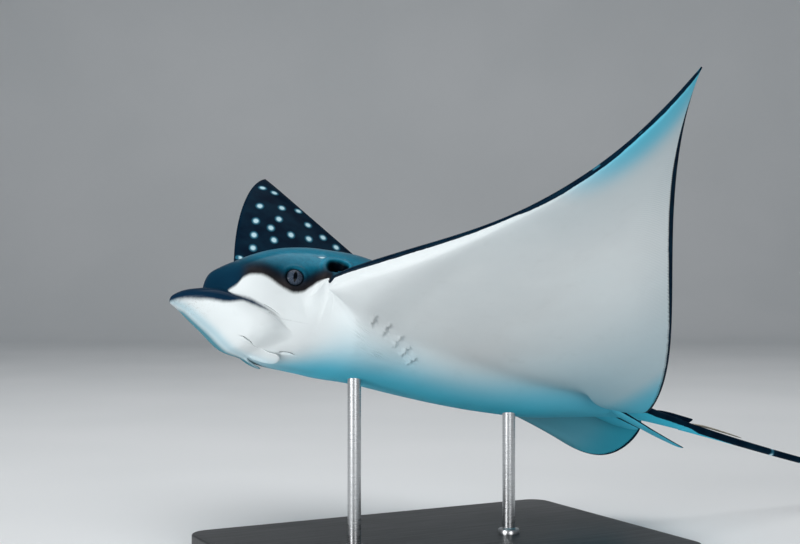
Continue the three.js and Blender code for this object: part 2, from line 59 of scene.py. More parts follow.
# %% Smooth tables
def table(*pairs):
    x, y = np.array(sorted(pairs), float).T
    h = np.diff(x)
    d = np.diff(y) / h
    m = np.concatenate([d[:1], np.zeros(len(d) - 1), d[-1:]])
    for i in range(1, len(d)):
        if d[i - 1] * d[i] > 0:
            a, b = 2 * h[i] + h[i - 1], h[i] + 2 * h[i - 1]
            m[i] = (a + b) / (a / d[i - 1] + b / d[i])
    fine = np.linspace(x[0], x[-1], 3000)
    i = np.clip(np.searchsorted(x, fine) - 1, 0, len(d) - 1)
    t = (fine - x[i]) / h[i]
    curve = y[i] * (1 + 2 * t) * (1 - t) ** 2 + y[i + 1] * t * t * (3 - 2 * t)
    curve += h[i] * (m[i] * t * (1 - t) ** 2 - m[i + 1] * t * t * (1 - t))
    return lambda v: np.interp(v, fine, curve)


def smooth(v, a, b):
    t = np.clip((v - a) / (b - a), 0, 1)
    return t * t * (3 - 2 * t)


def smooth_min(a, b, k):
    h = np.clip(0.5 + 0.5 * (b - a) / k, 0, 1)
    return b + (a - b) * h - k * h * (1 - h)


def unit(v):
    return v / np.maximum(np.linalg.norm(v, axis=-1, keepdims=True), 1e-12)


def join(*parts):
    """Coordinates of matching or stretchable shapes, side by side in one array."""
    return np.stack(np.broadcast_arrays(*parts), -1)


print("halfway up an eased step: %.2f" % smooth(.5, 0, 1))

# %% Outline of body and bill
crown = table((-.0605, -.004), (-.0612, .008), (-.063, .0185), (-.066, .0250), (-.072, .0310),
              (-.080, .0375), (-.090, .0445), (-.11, .0585), (-.135, .0722), (-.15, .0782), (-.19, .088),
              (-.25, .093), (-.34, .088), (-.45, .070), (-.55, .050), (-.65, .032), (-.72, .020),
              (-.78, .012), (-.85, .0085), (-.90, .0068), (-1.0, .0056))
belly = table((-.0605, -.006), (-.066, -.019), (-.08, -.035), (-.11, -.058), (-.14, -.0715),
              (-.17, -.0735), (-.20, -.0715), (-.24, -.0680), (-.30, -.0625), (-.36, -.0615),
              (-.42, -.0615), (-.48, -.0595), (-.53, -.0555), (-.58, -.0500), (-.66, -.0325),
              (-.72, -.019), (-.78, -.011), (-.85, -.0080), (-.90, -.0067), (-1.0, -.0056))
width = table((-.0605, .004), (-.0635, .014), (-.0668, .022), (-.0715, .034), (-.077, .046),
              (-.086, .059), (-.11, .073), (-.145, .083), (-.185, .094), (-.25, .112), (-.35, .112),
              (-.45, .096), (-.55, .075), (-.65, .055), (-.70, .043), (-.74, .026), (-.78, .0145),
              (-.85, .0088), (-.90, .0068), (-1.0, .0056))
waist = table((-.0605, .0), (-.08, .004), (-.145, .016), (-.19, .014), (-.26, .004), (-.40, .0), (-1.0, .0))
bill_top = table((-.020, -.0215), (-.0212, -.0185), (-.024, -.0155), (-.029, -.0115), (-.035, -.0083),
                 (-.045, -.0050), (-.054, -.0025), (-.065, -.0008), (-.078, -.0020), (-.10, -.012),
                 (-.13, -.026), (-.16, -.042), (-.20, -.052))
bill_bottom = table((-.020, -.0225), (-.0212, -.0250), (-.024, -.0268), (-.033, -.0280), (-.044, -.0308),
                    (-.058, -.0378), (-.071, -.0445), (-.085, -.0522), (-.098, -.0605), (-.115, -.0690),
                    (-.13, -.0728), (-.15, -.0715), (-.165, -.0675), (-.18, -.0620), (-.20, -.054))
bill_width = table((-.020, .0), (-.0212, .007), (-.024, .015), (-.033, .028), (-.050, .045), (-.070, .058),
                   (-.095, .068), (-.12, .0735), (-.135, .0715), (-.15, .067), (-.165, .060),
                   (-.18, .050), (-.20, .038))
bill_middle = table((-.020, -.0225), (-.05, -.019), (-.08, -.022), (-.11, -.030), (-.16, -.045))
print("back is highest at %.0f mm" % (1000 * crown(-.25)))

# %% [markdown]
# ## The flesh as a level function
# Head, bill and wings melt into each other, which separate lofts would not do. Each is written as a
# number that is negative inside, and a smooth minimum joins them with a soft valley. The wing is a
# thin plate whose thickness follows an aerofoil along its chord.

# %% Plan of the wings
HALF_SPAN = .70


def span_share(s):
    return (s - .11) / .59


def lead(s):
    q = span_share(s)
    return -.19 - .24 * q + .14 * q * (1 - q)


def trail_line(s):
    q = (s - .13) / .57
    return -.765 + .335 * q + .12 * q * (1 - q) + .16 * q * (1 - q) * (2 * q - 1)


def trail(s):
    """The trailing edge, rounded into the corner at the tail."""
    wing, corner, k = trail_line(s), -.70 - 1.6 * (s - .045), .012
    m = np.maximum(wing, corner)
    return m + k * np.log(np.exp((wing - m) / k) + np.exp((corner - m) / k))


print("wing is %.0f mm from front to rear at its root" % (1000 * (lead(.13) - trail(.13))))

# %% Level functions
BILL_TIP, FOREHEAD, WING_FRONT, BILL_END = -.020, -.0605, -.152, -.20
SKULL_POWER, BILL_TOP_POWER, BILL_LOW_POWER = 2.3, 2.2, 2.1
ROOT_THICK, TIP_THICK, HEM_THICK = .052, .0075, .0009
AEROFOIL = 2.65
ROOT_LIFT = .019
TINY = 1e-4


def oval(s, u, half, mid, top, bottom, n_top, n_bottom):
    """Distance to a super-ellipse with its own height and power above and below its widest line."""
    up = u > mid
    h = np.where(up, np.maximum(top - mid, TINY), np.maximum(mid - bottom, TINY))
    e = np.where(up, n_top, n_bottom)
    r = (np.abs(s / np.maximum(half, TINY)) ** e + np.abs((u - mid) / h) ** e) ** (1 / e)
    return (1 - 1 / np.maximum(r, 1e-3)) * np.hypot(s, u - mid)


def root_lift(f, s):
    """The front of the wing root sits a little above the middle plane."""
    return ROOT_LIFT * (1 - smooth(s, .10, .17)) * (smooth(-f, .165, .187) - smooth(-f, .20, .30))


def wing_level(f, s, u):
    a = lead(s)
    chord = np.maximum(a - trail(s), .004)
    v = (a - f) / chord
    q = np.clip((s - .10) / .60, 0, 1)
    c = np.clip(v, 0, 1)
    taper = np.clip((HALF_SPAN - s) / .06, .05, 1)
    thickest = .5 * (ROOT_THICK * (1 - q) ** 1.3 + TIP_THICK * taper ** .7)
    h = thickest * AEROFOIL * np.sqrt(c) * (1 - c) ** 1.05
    h = h + HEM_THICK * np.sqrt(np.clip(np.minimum(c, 1 - c) * chord / .003, 0, 1))
    out = np.maximum(-v, v - 1) * chord
    h = np.where(out > 0, -out, h)
    h = np.where(s > HALF_SPAN, np.minimum(h, HALF_SPAN - s), h)
    thin = .65 * (1 - smooth(s, .13, .20)) * (1 - smooth(a - f, .0, .060))
    h = np.where(h > 0, h * (1 - thin), h)
    return np.abs(u - root_lift(f, s)) - h


def level(f, s, u):
    """Negative inside the flesh: skull, bill and wings, joined with fillets."""
    skull = oval(s, u, width(f), waist(f), crown(f), belly(f), SKULL_POWER, SKULL_POWER)
    skull = np.where(f > FOREHEAD, .02 + f - FOREHEAD, skull)
    bill = oval(s, u, bill_width(f), bill_middle(f), bill_top(f), bill_bottom(f),
                BILL_TOP_POWER, BILL_LOW_POWER)
    bill = np.where(f < BILL_END, .03, bill + .03 * smooth(-f, .105, -BILL_END))
    brow = .006 + .022 * smooth(-f, .095, .135) * smooth(u, -.066, -.045)
    head = smooth_min(skull, bill, brow)
    below = .006 * smooth(-u, -.015, .010)
    armpit = .030 + (.028 + below) * (smooth(-f, .152, .188) - smooth(-f, .24, .33))
    return np.where(f < WING_FRONT, smooth_min(head, wing_level(f, s, u), armpit), head)


print("inside the belly:", bool(level(np.array(-.3), np.array(0.), np.array(0.)) < 0))

# %% [markdown]
# ## A net of rings over the flat ray
# A quad net that follows the animal shades far better than a blind remesh. Half rings start on the
# midline and end on the margin of the disc: cross-sections over the head, then spokes that fan out to
# the leading edge, the tip and the trailing edge, then cross-sections again to the tail. Each point is
# found by sending a ray out from inside the flesh and halving the step until it meets the skin.

# %% Lay out the rings
HEAD_RINGS, LEAD_RINGS, TRAIL_RINGS, CORNER_RINGS, REAR_RINGS = 220, 200, 440, 60, 40
ACROSS = 144
FIRST_RING = 4
HEAD_RUN, LEAD_RUN, TRAIL_RUN, CORNER_RUN = .168, .242, .225, .045
SHOULDER, WAIST, HIP = -.188, -.43, -.655
FIRST_TRAIL = HEAD_RINGS + 1 - FIRST_RING + LEAD_RINGS
TAIL_JOIN = -.86


def rising(n):
    return np.arange(1, n + 1) / n


def ring_plan():
    """One row a ring: its foot on the midline, the f and s of its edge, and how far it is a spoke."""
    turn = np.linspace(0, np.pi / 2, HEAD_RINGS + 1)[FIRST_RING:]
    head = BILL_TIP - HEAD_RUN * (1 - np.cos(turn))
    edge = np.maximum(np.where(head > -.16, bill_width(head), 0), np.where(head < -.061, width(head), 0))
    rows = [join(head, head, edge, 0)]
    q = rising(LEAD_RINGS)
    s = .1 + .6 * q
    rows.append(join(SHOULDER - LEAD_RUN * q ** .9, lead(s), s, np.minimum(1, q / .12)))
    q = rising(TRAIL_RINGS)
    s = .70 - .605 * q
    rows.append(join(WAIST - TRAIL_RUN * q, trail(s), s, 1))
    q = rising(CORNER_RINGS)
    s = .095 - .050 * q
    rows.append(join(HIP - CORNER_RUN * q, trail(s), s, 1 - .999 * q))
    f = rows[-1][-1, 1] + (TAIL_JOIN - rows[-1][-1, 1]) * rising(REAR_RINGS)
    rows.append(join(f, f, width(f), 0))
    return np.concatenate(rows)


plan = ring_plan()
foot, edge_f, edge_s, spoke = plan.T
print("rings:", len(plan), "points on each half ring:", 2 * ACROSS)

# %% Cast the rays
def share_along_spoke():
    at = np.linspace(0, 1, 2001)
    step = np.interp(at, [0, .25, .5, .9, .97, 1], [1, 1, 4, 4, 1, .12])
    count = np.concatenate([[0], np.cumsum(.5 * (1 / step[1:] + 1 / step[:-1]))])
    return np.interp(np.linspace(0, count[-1], ACROSS + 1), count, at)


MARGIN = .004
REACH_OUT = .22
HALVINGS = 20
even = np.linspace(0, 1, ACROSS + 1)[None, :]
share = share_along_spoke()[None, :]
length = np.hypot(edge_f - foot, edge_s)
out_f, out_s = (edge_f - foot) / length, edge_s / length
heart = np.interp(-foot, [.02, .05, .062, .09, .15, .188], [-.0225, -.023, -.012, -.010, -.004, 0])
heart = heart + root_lift(edge_f, edge_s) * (np.arange(len(foot)) < HEAD_RINGS + LEAD_RINGS)
mix = spoke[:, None]
reach = (1 - mix) * .45 * length[:, None] * even + mix * (length[:, None] - MARGIN) * share
tilt = np.pi / 2 * ((1 - mix) * (1 - even) + mix * (1 - share ** 60))


def cast(sign):
    """Halves the way from the heart of each ring to outside, upward (1) or downward (-1)."""
    f0 = foot[:, None] + reach * out_f[:, None]
    s0 = reach * out_s[:, None]
    df = np.cos(tilt) * out_f[:, None]
    ds = np.cos(tilt) * out_s[:, None]
    du = np.sin(tilt) * sign
    low, high = np.zeros_like(f0), np.full_like(f0, REACH_OUT)
    to_rim = (length[:, None] - reach + .006) / np.maximum(np.cos(tilt), .02)
    high = np.where(foot[:, None] < -.60, np.minimum(high, to_rim), high)
    for _ in range(HALVINGS):
        mid = (low + high) / 2
        inside = level(f0 + mid * df, s0 + mid * ds, heart[:, None] + mid * du) < 0
        low, high = np.where(inside, mid, low), np.where(inside, high, mid)
    d = (low + high) / 2
    return join(f0 + d * df, s0 + d * ds, heart[:, None] + d * du)


flat = np.stack([cast(1), cast(-1)])
flat[:, :, 0, 1] = 0
print("half span of the flat disc: %.3f m" % flat[..., 1].max())

# %% [markdown]
# ## Folds, slits and hollows
# On a real head the skin folds at the nostrils and mouth, gapes at the spiracle behind the eye and
# splits at five gill slits below. Each is a short line drawn on the flat body. The skin near the line
# is pushed along its own normal, which keeps the net whole and puts real depth in the mesh.

# %% Normals of the flat net
def normals(net, sign):
    along = np.gradient(net, axis=0)
    across = np.gradient(net, axis=1)
    return unit(np.cross(across, along) * sign)


def lay_normals():
    top, under = normals(flat[0], 1), normals(flat[1], -1)
    top[:, -1] = under[:, -1] = unit(top[:, -1] + under[:, -1])
    for n in (top, under):
        n[:, 0, 1] = 0
    return np.stack([top, under])


flat_normal = lay_normals()
print("crown normal:", np.round(flat_normal[0, HEAD_RINGS // 2, 0], 2))

# %% Distance to a drawn line
FAR = 9.


def rounded(points, each=8):
    """A smooth line through a few points."""
    p = np.array(points, float)
    p = np.concatenate([[2 * p[0] - p[1]], p, [2 * p[-1] - p[-2]]])
    t = np.linspace(0, 1, each, endpoint=False)[:, None]
    out = []
    for a, b, c, d in zip(p[:-3], p[1:-2], p[2:-1], p[3:]):
        out.append(b + .5 * t * (c - a + t * (2 * a - 5 * b + 4 * c - d + t * (3 * (b - c) + d - a))))
    return np.concatenate(out + [p[-2][None]])


def from_line(points, half=.03):
    """Signed distance to the line, and how far along it (0 to 1), at every point of the net."""
    p = rounded(points)
    lo, hi = p.min(0) - half, p.max(0) + half
    near = np.all((flat > lo) & (flat < hi), axis=-1)
    x, n = flat[near], flat_normal[near]
    best = np.full(len(x), FAR)
    signed, share_on = best.copy(), 0 * best
    step = np.linalg.norm(np.diff(p, axis=0), axis=1)
    start = np.concatenate([[0], np.cumsum(step)])
    for a, b, size, s0 in zip(p[:-1], p[1:], step, start):
        t = np.clip((x - a) @ (b - a) / size ** 2, 0, 1)
        gap = x - (a + t[:, None] * (b - a))
        d = np.linalg.norm(gap, axis=1)
        side = np.sign(np.einsum("ij,ij->i", np.cross(b - a, gap), n))
        closer = d < best
        best = np.where(closer, d, best)
        signed = np.where(closer, d * np.where(side == 0, 1, side), signed)
        share_on = np.where(closer, (s0 + t * size) / start[-1], share_on)
    far, place_on = np.full(flat.shape[:-1], FAR), np.zeros(flat.shape[:-1])
    far[near], place_on[near] = signed, share_on
    return far, place_on


print("corners of a rounded bend of three points:", len(rounded([(0, 0, 0), (1, 0, 0), (1, 1, 0)])))

# %% Lines on the flat body
nostril = [(-.1004, .0379, -.0569), (-.1072, .0425, -.0590), (-.1159, .0422, -.0631),
           (-.1262, .0380, -.0676), (-.1342, .0374, -.0684)]
mouth = [(-.1589, .0410, -.0658), (-.1684, .0452, -.0649), (-.1779, .0457, -.0651), (-.1843, .0448, -.0655)]
cheek_upper = [(-.1140, .0698, -.0183), (-.1238, .0719, -.0214), (-.1337, .0731, -.0255),
               (-.1435, .0733, -.0308)]
cheek_lower = [(-.1216, .0729, -.0267), (-.1313, .0735, -.0288), (-.1398, .0751, -.0347)]
gills = [[(-.2655, .132), (-.2690, .152), (-.2715, .172)],
         [(-.2820, .120), (-.2885, .141), (-.2975, .160)],
         [(-.2975, .104), (-.3060, .121), (-.3150, .136)],
         [(-.3115, .092), (-.3170, .103), (-.3240, .115)],
         [(-.3250, .080), (-.3300, .089), (-.3360, .098)]]
EYE = np.array([-.1457, .0830, .0226])
SPIRACLE = np.array([-.1975, .1025, .0440])
print("lines drawn:", 2 + len(gills))

# %% Push the skin in and out along the lines
push, crease_shade_weight, gill_shade = np.zeros((3, *flat.shape[:-1]))
crease = np.full(flat.shape[:-1], FAR)


def mark(signed, strength, wide):
    """Keeps the nearest line's distance for the finish, in line widths, with the strength of its painted
    shade.
    """
    weight = strength * (1 - smooth(np.abs(signed) / wide, 3, 4.5))
    closer = weight > crease_shade_weight
    crease[closer] = (signed / wide)[closer]
    crease_shade_weight[closer] = weight[closer]


def groove(points, depth, wide, shade_strength, ends, shade_wide):
    """A furrow that fades out at both ends, with a line of painted shade along its floor."""
    d, t = from_line(points)
    fade = smooth(t, 0, ends[0]) * (1 - smooth(t, 1 - ends[1], 1))
    push[:] -= depth * fade * np.exp(-(d / wide) ** 2)
    mark(d, shade_strength * smooth(fade, 0, .5), shade_wide * (.35 + .65 * fade))


groove(nostril, depth=.0048, wide=.0016, shade_strength=1.0, ends=(.45, .12), shade_wide=.0013)
groove(mouth, depth=.0036, wide=.0015, shade_strength=1.0, ends=(.03, .75), shade_wide=.0011)
for cheek in (cheek_upper, cheek_lower):
    groove(cheek, depth=.0012, wide=.0011, shade_strength=.5, ends=(.15, .7), shade_wide=.0006)
LID, SOCKET = .0012, .0080
r = np.linalg.norm(flat - EYE, axis=-1)
push += LID * np.exp(-((r - .0145) / .0026) ** 2) - SOCKET * (1 - smooth(r, .0103, .0124))
print("deepest push %.1f mm, highest %.1f mm" % (1000 * push.min(), 1000 * push.max()))

# %% Ruffles over the gill slits
def plan_line(points, half=.026):
    """Distance ahead of a line in plan (positive forward) on the white side, and the share along it."""
    p = rounded([(*q, 0) for q in points])[:, :2]
    lo, hi = p.min(0) - half, p.max(0) + half
    x = flat[1, ..., :2]
    near = np.all((x > lo) & (x < hi), axis=-1)
    gap = x[near][:, None] - p[None]
    k = np.argmin((gap ** 2).sum(-1), axis=1)
    run = np.gradient(p, axis=0)[k]
    g = gap[np.arange(len(k)), k]
    ahead, place_on = np.full(near.shape, FAR), np.zeros(near.shape)
    ahead[near] = (run[:, 1] * g[:, 0] - run[:, 0] * g[:, 1]) / np.hypot(*run.T)
    beyond = (np.abs(g).max(1) > half) | (k == 0) | (k == len(p) - 1)
    place_on[near] = np.where(beyond, 0, k / (len(p) - 1))
    return ahead, place_on


def swing(turns):
    return np.sin(2 * np.pi * turns)


RUFFLE_HIGH, SLIT_DEEP = .0023, .0028
WAVE, RIPPLE = .0013, .0006
for n, line in enumerate(gills):
    d, t = plan_line(line)
    fade = np.sin(np.pi * t) ** .7 * (np.abs(d) < .024)
    d = d + (WAVE * swing(2.6 * t + .37 * n) + RIPPLE * swing(6.1 * t + .2 * n))
    crest = np.exp(-np.clip(d, 0, 1) / .0070) * (d > 0)
    dip = np.exp(-(np.clip(-d, 0, 1) / .0030)) * (d <= 0)
    pleat = 1 + .45 * np.sin(2 * np.pi * (4.3 * t + .5 * n) + d * 160)
    push[1] += fade * (RUFFLE_HIGH * crest * pleat - SLIT_DEEP * dip)
    # Painted shade in each slit, deepest near its inner end.
    pocket = np.exp(-((t - .16) / .13) ** 2) + .5 * np.exp(-((t - .86) / .09) ** 2) + .16
    gill_shade[1] = np.maximum(gill_shade[1], fade * pocket * np.exp(-((d + .0011) / .0011) ** 2))
print("gill slits:", len(gills))

# %% Hollow out the spiracle
slant = unit(np.array([-.0284, -.0031, .0203]))
flank = np.array([.0, .90, .43])
flank = unit(flank - slant * (flank @ slant))
rise = np.cross(flank, slant)
d = flat - SPIRACLE
hollow = np.hypot(d @ slant / .0158, d @ rise / .0200)
hollow = np.where(d @ flank > -.02, hollow, FAR)
HOLLOW_DEEP, HOLLOW_LIP = .018, .0012
push -= HOLLOW_DEEP * (1 - smooth(hollow, .38, 1.0))
push += HOLLOW_LIP * np.exp(-((hollow - 1.16) / .13) ** 2) * (hollow < 2)
# Painted shade inside the spiracle hollow.
pit_shade = 1 - smooth(hollow, .82, 1.04)
flat += push[..., None] * flat_normal
flat_normal = lay_normals()
print("spiracle points:", int((hollow < 1).sum()))

# %% [markdown]
# ## The wing beat
# A swimming ray holds its wings up in a curved stroke, each at its own height. The plan of each wing
# is carried onto two edge curves, one for the leading and one for the trailing edge, and the thickness
# is laid off along the normal between them. Five control spans give the twist and the lifted tip.

# %% Edge curves of the raised wings
LEFT = ([(-.1743, .0948, .0105), (-.1447, .2064, .0030), (-.1756, .3253, .0006), (-.2343, .4405, .0152),
         (-.2885, .5347, .0737), (-.3314, .5984, .1881)],
        [(-.7149, .0958, -.0238), (-.6584, .2111, -.0062), (-.5564, .3238, .0243), (-.4499, .4267, .0696),
         (-.3631, .5130, .1256), (-.3313, .5983, .1880)])
RIGHT = ([(-.1873, -.0990, .0093), (-.2520, -.2036, -.0015), (-.2421, -.3401, .0362),
          (-.2248, -.3999, .1521), (-.2254, -.4136, .3202), (-.3108, -.4941, .3783)],
         [(-.8507, -.0883, -.0097), (-.7471, -.1370, -.1644), (-.6238, -.1649, .1016),
          (-.4339, -.3142, .1930), (-.3476, -.3941, .3103), (-.3110, -.4940, .3784)])
print("corner points of each edge curve:", len(LEFT[0]))

# %% Bend the wings
def bernstein(points, t):
    p = np.array(points, float)
    n = len(p) - 1
    c, total = 1., 0
    for i in range(n + 1):
        total = total + (c * t ** i * (1 - t) ** (n - i))[..., None] * p[i]
        c = c * (n - i) / (i + 1)
    return total


def edge_curve(points, t):
    """A place on the curve and its slope; past either end the curve runs on straight."""
    inside = np.clip(t, 0, 1)
    slope = bernstein(5 * np.diff(np.array(points, float), axis=0), inside)
    return bernstein(points, inside) + slope * (t - inside)[..., None], slope


ARCH, ARCH_MORE = .10, .30


def beat(p, side):
    """Bends the wings of flat points and leaves the trunk straight."""
    f, s, u = p[..., 0], p[..., 1], p[..., 2]
    a, chord = lead(s), lead(s) - trail_line(s)
    v = (a - f) / np.maximum(chord, .004)
    t = span_share(s)
    (l_at, l_slope), (t_at, t_slope) = [edge_curve(c, t) for c in (LEFT if side > 0 else RIGHT)]
    out = (l_slope + (t_slope - l_slope) * v[..., None]) * side
    n = unit(np.cross(l_at - t_at, out))
    arch = ARCH * smooth(s, .1, .4)
    if side < 0:
        arch = arch + ARCH_MORE * smooth(s, .06, .16) * (1 - smooth(s, .24, .50))
    inside = np.clip(v, 0, 1)
    camber = arch * inside * (1 - inside) * chord
    swept = l_at + (t_at - l_at) * v[..., None] + n * (u + camber)[..., None]
    front, rear = smooth(-f, .20, .26), smooth(-f, .58, .72)
    early = .013 * smooth(-f, .140, .198)
    bend_from = .085 - early - .017 * front - .030 * rear
    bend_to = .175 - early * (1 - front) - .095 * rear
    w = smooth(s, bend_from, bend_to)[..., None]
    return join(f, s * side, u) * (1 - w) + swept * w


print("left wing tip goes to", np.round(beat(np.array([[-.43, HALF_SPAN, 0.]]), 1)[0], 3))

# %% From the body to the room
PITCH, BANK = np.radians(15.33), np.radians(12.71)
PIVOT_F, PIVOT_Z = -.42, .270
forward = np.array([-np.cos(PITCH), 0, np.sin(PITCH)])
upright = np.array([np.sin(PITCH), 0, np.cos(PITCH)])
leftward = np.array([0, -np.cos(BANK), 0]) + upright * np.sin(BANK)
upward = np.cross(forward, leftward)
axes = np.stack([forward, leftward, upward])
tail_u = table((-.70, 0), (-.93, -.001), (-1.13, .0016), (-1.30, .030), (-1.60, .110), (-2.0, .225),
               (-2.75, .450))
tail_l = table((-.70, 0), (-.93, -.009), (-1.13, -.022), (-1.50, -.038), (-2.0, -.030), (-2.75, .060))


def place(p):
    return (p - np.array([PIVOT_F, 0, 0])) @ axes + np.array([0, 0, PIVOT_Z])


def posed(p, side):
    q = beat(p, side)
    q[..., 1] += tail_l(q[..., 0]) * smooth(-q[..., 0], .70, .85)
    return place(q)


print("heading %.0f degrees nose up, %.0f degrees banked" % (np.degrees(PITCH), np.degrees(BANK)))

# %% [markdown]
# ## Where the skin changes colour
# Dark above and white below is drawn as one signed distance: positive on the dark side, zero on the
# border. It is worked out here once for each point, and the finish only has to add a little noise to
# it. Two more measures run along the margin of the disc: the distance in from the edge and the way
# round it, which place the dark hem and the fin rays.

# %% Distance to the dark and white border
mask_low = table((-.23, .028), (-.1896, .0229), (-.1808, .0220), (-.1736, .0191), (-.1665, .0126),
                 (-.157, .0042), (-.1468, .0016),
                 (-.1321, .006), (-.1185, .0126), (-.106, .0171), (-.0953, .0158), (-.0872, .0106),
                 (-.0821, .0006), (-.0762, -.0063), (-.073, -.014), (-.0708, -.0252), (-.0527, -.0244),
                 (-.0355, -.0243), (-.020, -.0262))
strip_low = table((-.020, -.0262), (-.0355, -.0243), (-.0527, -.0244), (-.0708, -.0252), (-.0912, -.0200),
                  (-.1139, -.0238), (-.125, -.0255), (-.14, -.0300))
strip_high = table((-.0740, .010), (-.0767, -.0103), (-.0941, -.0131), (-.1076, -.0175), (-.1237, -.0245),
                   (-.14, -.0330))


def tone_on_head(f, u):
    return np.maximum(u - mask_low(f), np.minimum(u - strip_low(f), strip_high(f) - u))


tangent = unit(np.gradient(np.stack([edge_f, edge_s], 1), axis=0))
way = np.concatenate([[0], np.cumsum(np.hypot(np.diff(edge_f), np.diff(edge_s)))])
to_edge = np.stack([edge_f[:, None] - flat[..., 0], edge_s[:, None] - flat[..., 1]], -1)
rim = np.abs(to_edge[..., 0] * tangent[:, None, 1] - to_edge[..., 1] * tangent[:, None, 0])
along = way[:, None] - np.einsum("hraj,rj->hra", to_edge, tangent)
rim[:, :, -1] = 0
step = np.linalg.norm(np.diff(flat, axis=2), axis=-1)
arc = np.concatenate([np.zeros(step.shape[:2] + (1,)), np.cumsum(step, axis=2)], axis=2)
skin_in = arc[:, :, -1:] - arc
lead_hem = table((.10, .004), (.15, .003), (.20, .0015), (.30, .0014), (.45, .0010), (.51, .0040),
                 (.57, .0042), (.62, .0022), (.70, .0030))
trail_hem = table((.04, .0030), (.10, .0050), (.30, .0060), (.38, .0085), (.47, .0120), (.54, .0160),
                  (.60, .0190), (.66, .0180), (.70, .0100))
hem = np.where(np.arange(len(plan)) >= FIRST_TRAIL, trail_hem(edge_s), lead_hem(edge_s))
tone = np.stack([skin_in[0] + hem[:, None], hem[:, None] - skin_in[1]])
on_head = 1 - smooth(flat[..., 1], .094, .114) * smooth(-flat[..., 0], .176, .196)
on_head *= 1 - smooth(-flat[..., 0], .19, .22)
tone = tone * (1 - on_head) + tone_on_head(flat[..., 0], flat[..., 2]) * on_head
print("margin round one side: %.2f m" % way[-1])

# %% Painted sea light and shade on the white side
def painted_light_of(f, s, u):
    """How far the white side takes on painted blue sea light (0 to 1), and how far painted shade darkens it.
    """
    spread = .014 + .051 * smooth(-f, .12, .26)
    deep = (.25 + 2.05 * smooth(-f, .13, .24)) * np.exp(-(s / spread) ** 2)
    deep = deep + .8 * smooth(-f, .40, .66) * np.exp(-np.maximum(s - .05, 0) / .12)
    behind = np.maximum(lead(s) - f, 0)
    deep = deep + 2.2 * smooth(s, .50, .63) * np.exp(-(behind / .034) ** 2) + 1.6 * smooth(-f, .69, .76)
    shade = .30 * np.exp(-(s / .014) ** 2) * (1 - smooth(-f, .17, .26)) * smooth(-u, .02, .04)
    shade = shade + .35 * smooth(s + .5 * (f + .42), .40, .66) + .25 * smooth(-f, .50, .66)
    return 1 - np.exp(-deep), np.clip(shade, 0, 1)


print("sea green on the belly line: %.2f" % painted_light_of(-.3, 0., -.06)[0])

# %% [markdown]
# ## One mesh for all the flesh
# The half rings are bent into both wings, joined on the midline and on the margin, and carried on as a
# tube down the tail. Lists of whole arrays go to Blender in one call each, which takes seconds for a
# million faces where a loop over vertices would take minutes.

# %% Helpers for meshes
def keep_measure(mesh, name, rows):
    layer = mesh.attributes.new(name, "FLOAT_VECTOR", "POINT")
    layer.data.foreach_set("vector", np.asarray(rows, np.float32).ravel())


def show(name, mesh):
    """Shades a mesh smoothly and puts it into the scene."""
    mesh.polygons.foreach_set("use_smooth", np.ones(len(mesh.polygons), bool))
    thing = bpy.data.objects.new(name, mesh)
    bpy.context.collection.objects.link(thing)
    return thing


def piece_of(name, points, faces, sharp=0, **measures):
    """A small piece; edges that turn by more than sharp degrees stay sharp."""
    mesh = bpy.data.meshes.new(name)
    mesh.from_pydata(np.asarray(points).reshape(-1, 3).tolist(), [], faces)
    for key, rows in measures.items():
        keep_measure(mesh, key, rows)
    made = show(name, mesh)
    if sharp:
        mesh.set_sharp_from_angle(angle=np.radians(sharp))
    return made


def numbers(rows, sides, first=0):
    """Numbers of the points on a stack of closed rings, and of the next point round each."""
    ids = first + np.arange(rows * sides).reshape(rows, sides)
    return ids, np.roll(ids, -1, axis=1)


def cells(g):
    """The four corners of every cell of a grid."""
    return np.stack([g[:-1, :-1], g[1:, :-1], g[1:, 1:], g[:-1, 1:]], 2)


print("mesh helpers ready")

# %% A builder that gathers arrays
class Net:
    """Vertices, their measures and faces, gathered piece by piece."""

    def __init__(self):
        self.points, self.faces, self.maps, self.count = [], [], [], 0
        self.measures = {"plan": [], "edge": [], "line": [], "painted_light": []}

    def add(self, points, plan, edge, line, hollow_shade=0.):
        """Takes grids or rows of points with their measures and gives the first one's number."""
        points = np.reshape(points, (-1, 3))
        n = len(points)
        self.points.append(points)
        plan = np.broadcast_to(np.reshape(plan, (-1, 3)), (n, 3))
        # Painted sea light, painted shade and painted shade in hollows, kept at each point for the finish.
        green, shade = painted_light_of(plan[:, 0], np.abs(plan[:, 1]), plan[:, 2])
        painted_light = join(green, shade, hollow_shade)
        for name, value in (("plan", plan), ("edge", edge), ("line", line), ("painted_light", painted_light)):
            self.measures[name].append(np.broadcast_to(np.reshape(value, (-1, 3)), (n, 3)))
        self.count += n
        return self.count - n

    def add_faces(self, corners, chart):
        """corners: vertex numbers of each face; chart: a place on the map for each corner."""
        each = np.shape(corners)[-1]
        self.faces.append(np.reshape(corners, (-1, each)).astype(np.int32))
        self.maps.append(np.reshape(chart, (-1, 2)).astype(np.float32))

    def build(self, name):
        mesh = bpy.data.meshes.new(name)
        points = np.concatenate(self.points)
        mesh.vertices.add(len(points))
        mesh.vertices.foreach_set("co", points.astype(np.float32).ravel())
        sizes = np.concatenate([np.full(len(f), f.shape[1], np.int32) for f in self.faces])
        corners = np.concatenate([f.ravel() for f in self.faces])
        starts = np.concatenate([[0], np.cumsum(sizes)[:-1]])
        mesh.loops.add(len(corners))
        mesh.loops.foreach_set("vertex_index", corners)
        mesh.polygons.add(len(sizes))
        mesh.polygons.foreach_set("loop_start", starts.astype(np.int32))
        uv = mesh.uv_layers.new(name="OFBake")
        uv.data.foreach_set("uv", np.concatenate(self.maps).ravel())
        for key, rows in self.measures.items():
            keep_measure(mesh, key, np.concatenate(rows))
        mesh.update(calc_edges=True)
        return show(name, mesh)


skin = Net()
print("measures at each point:", list(skin.measures))

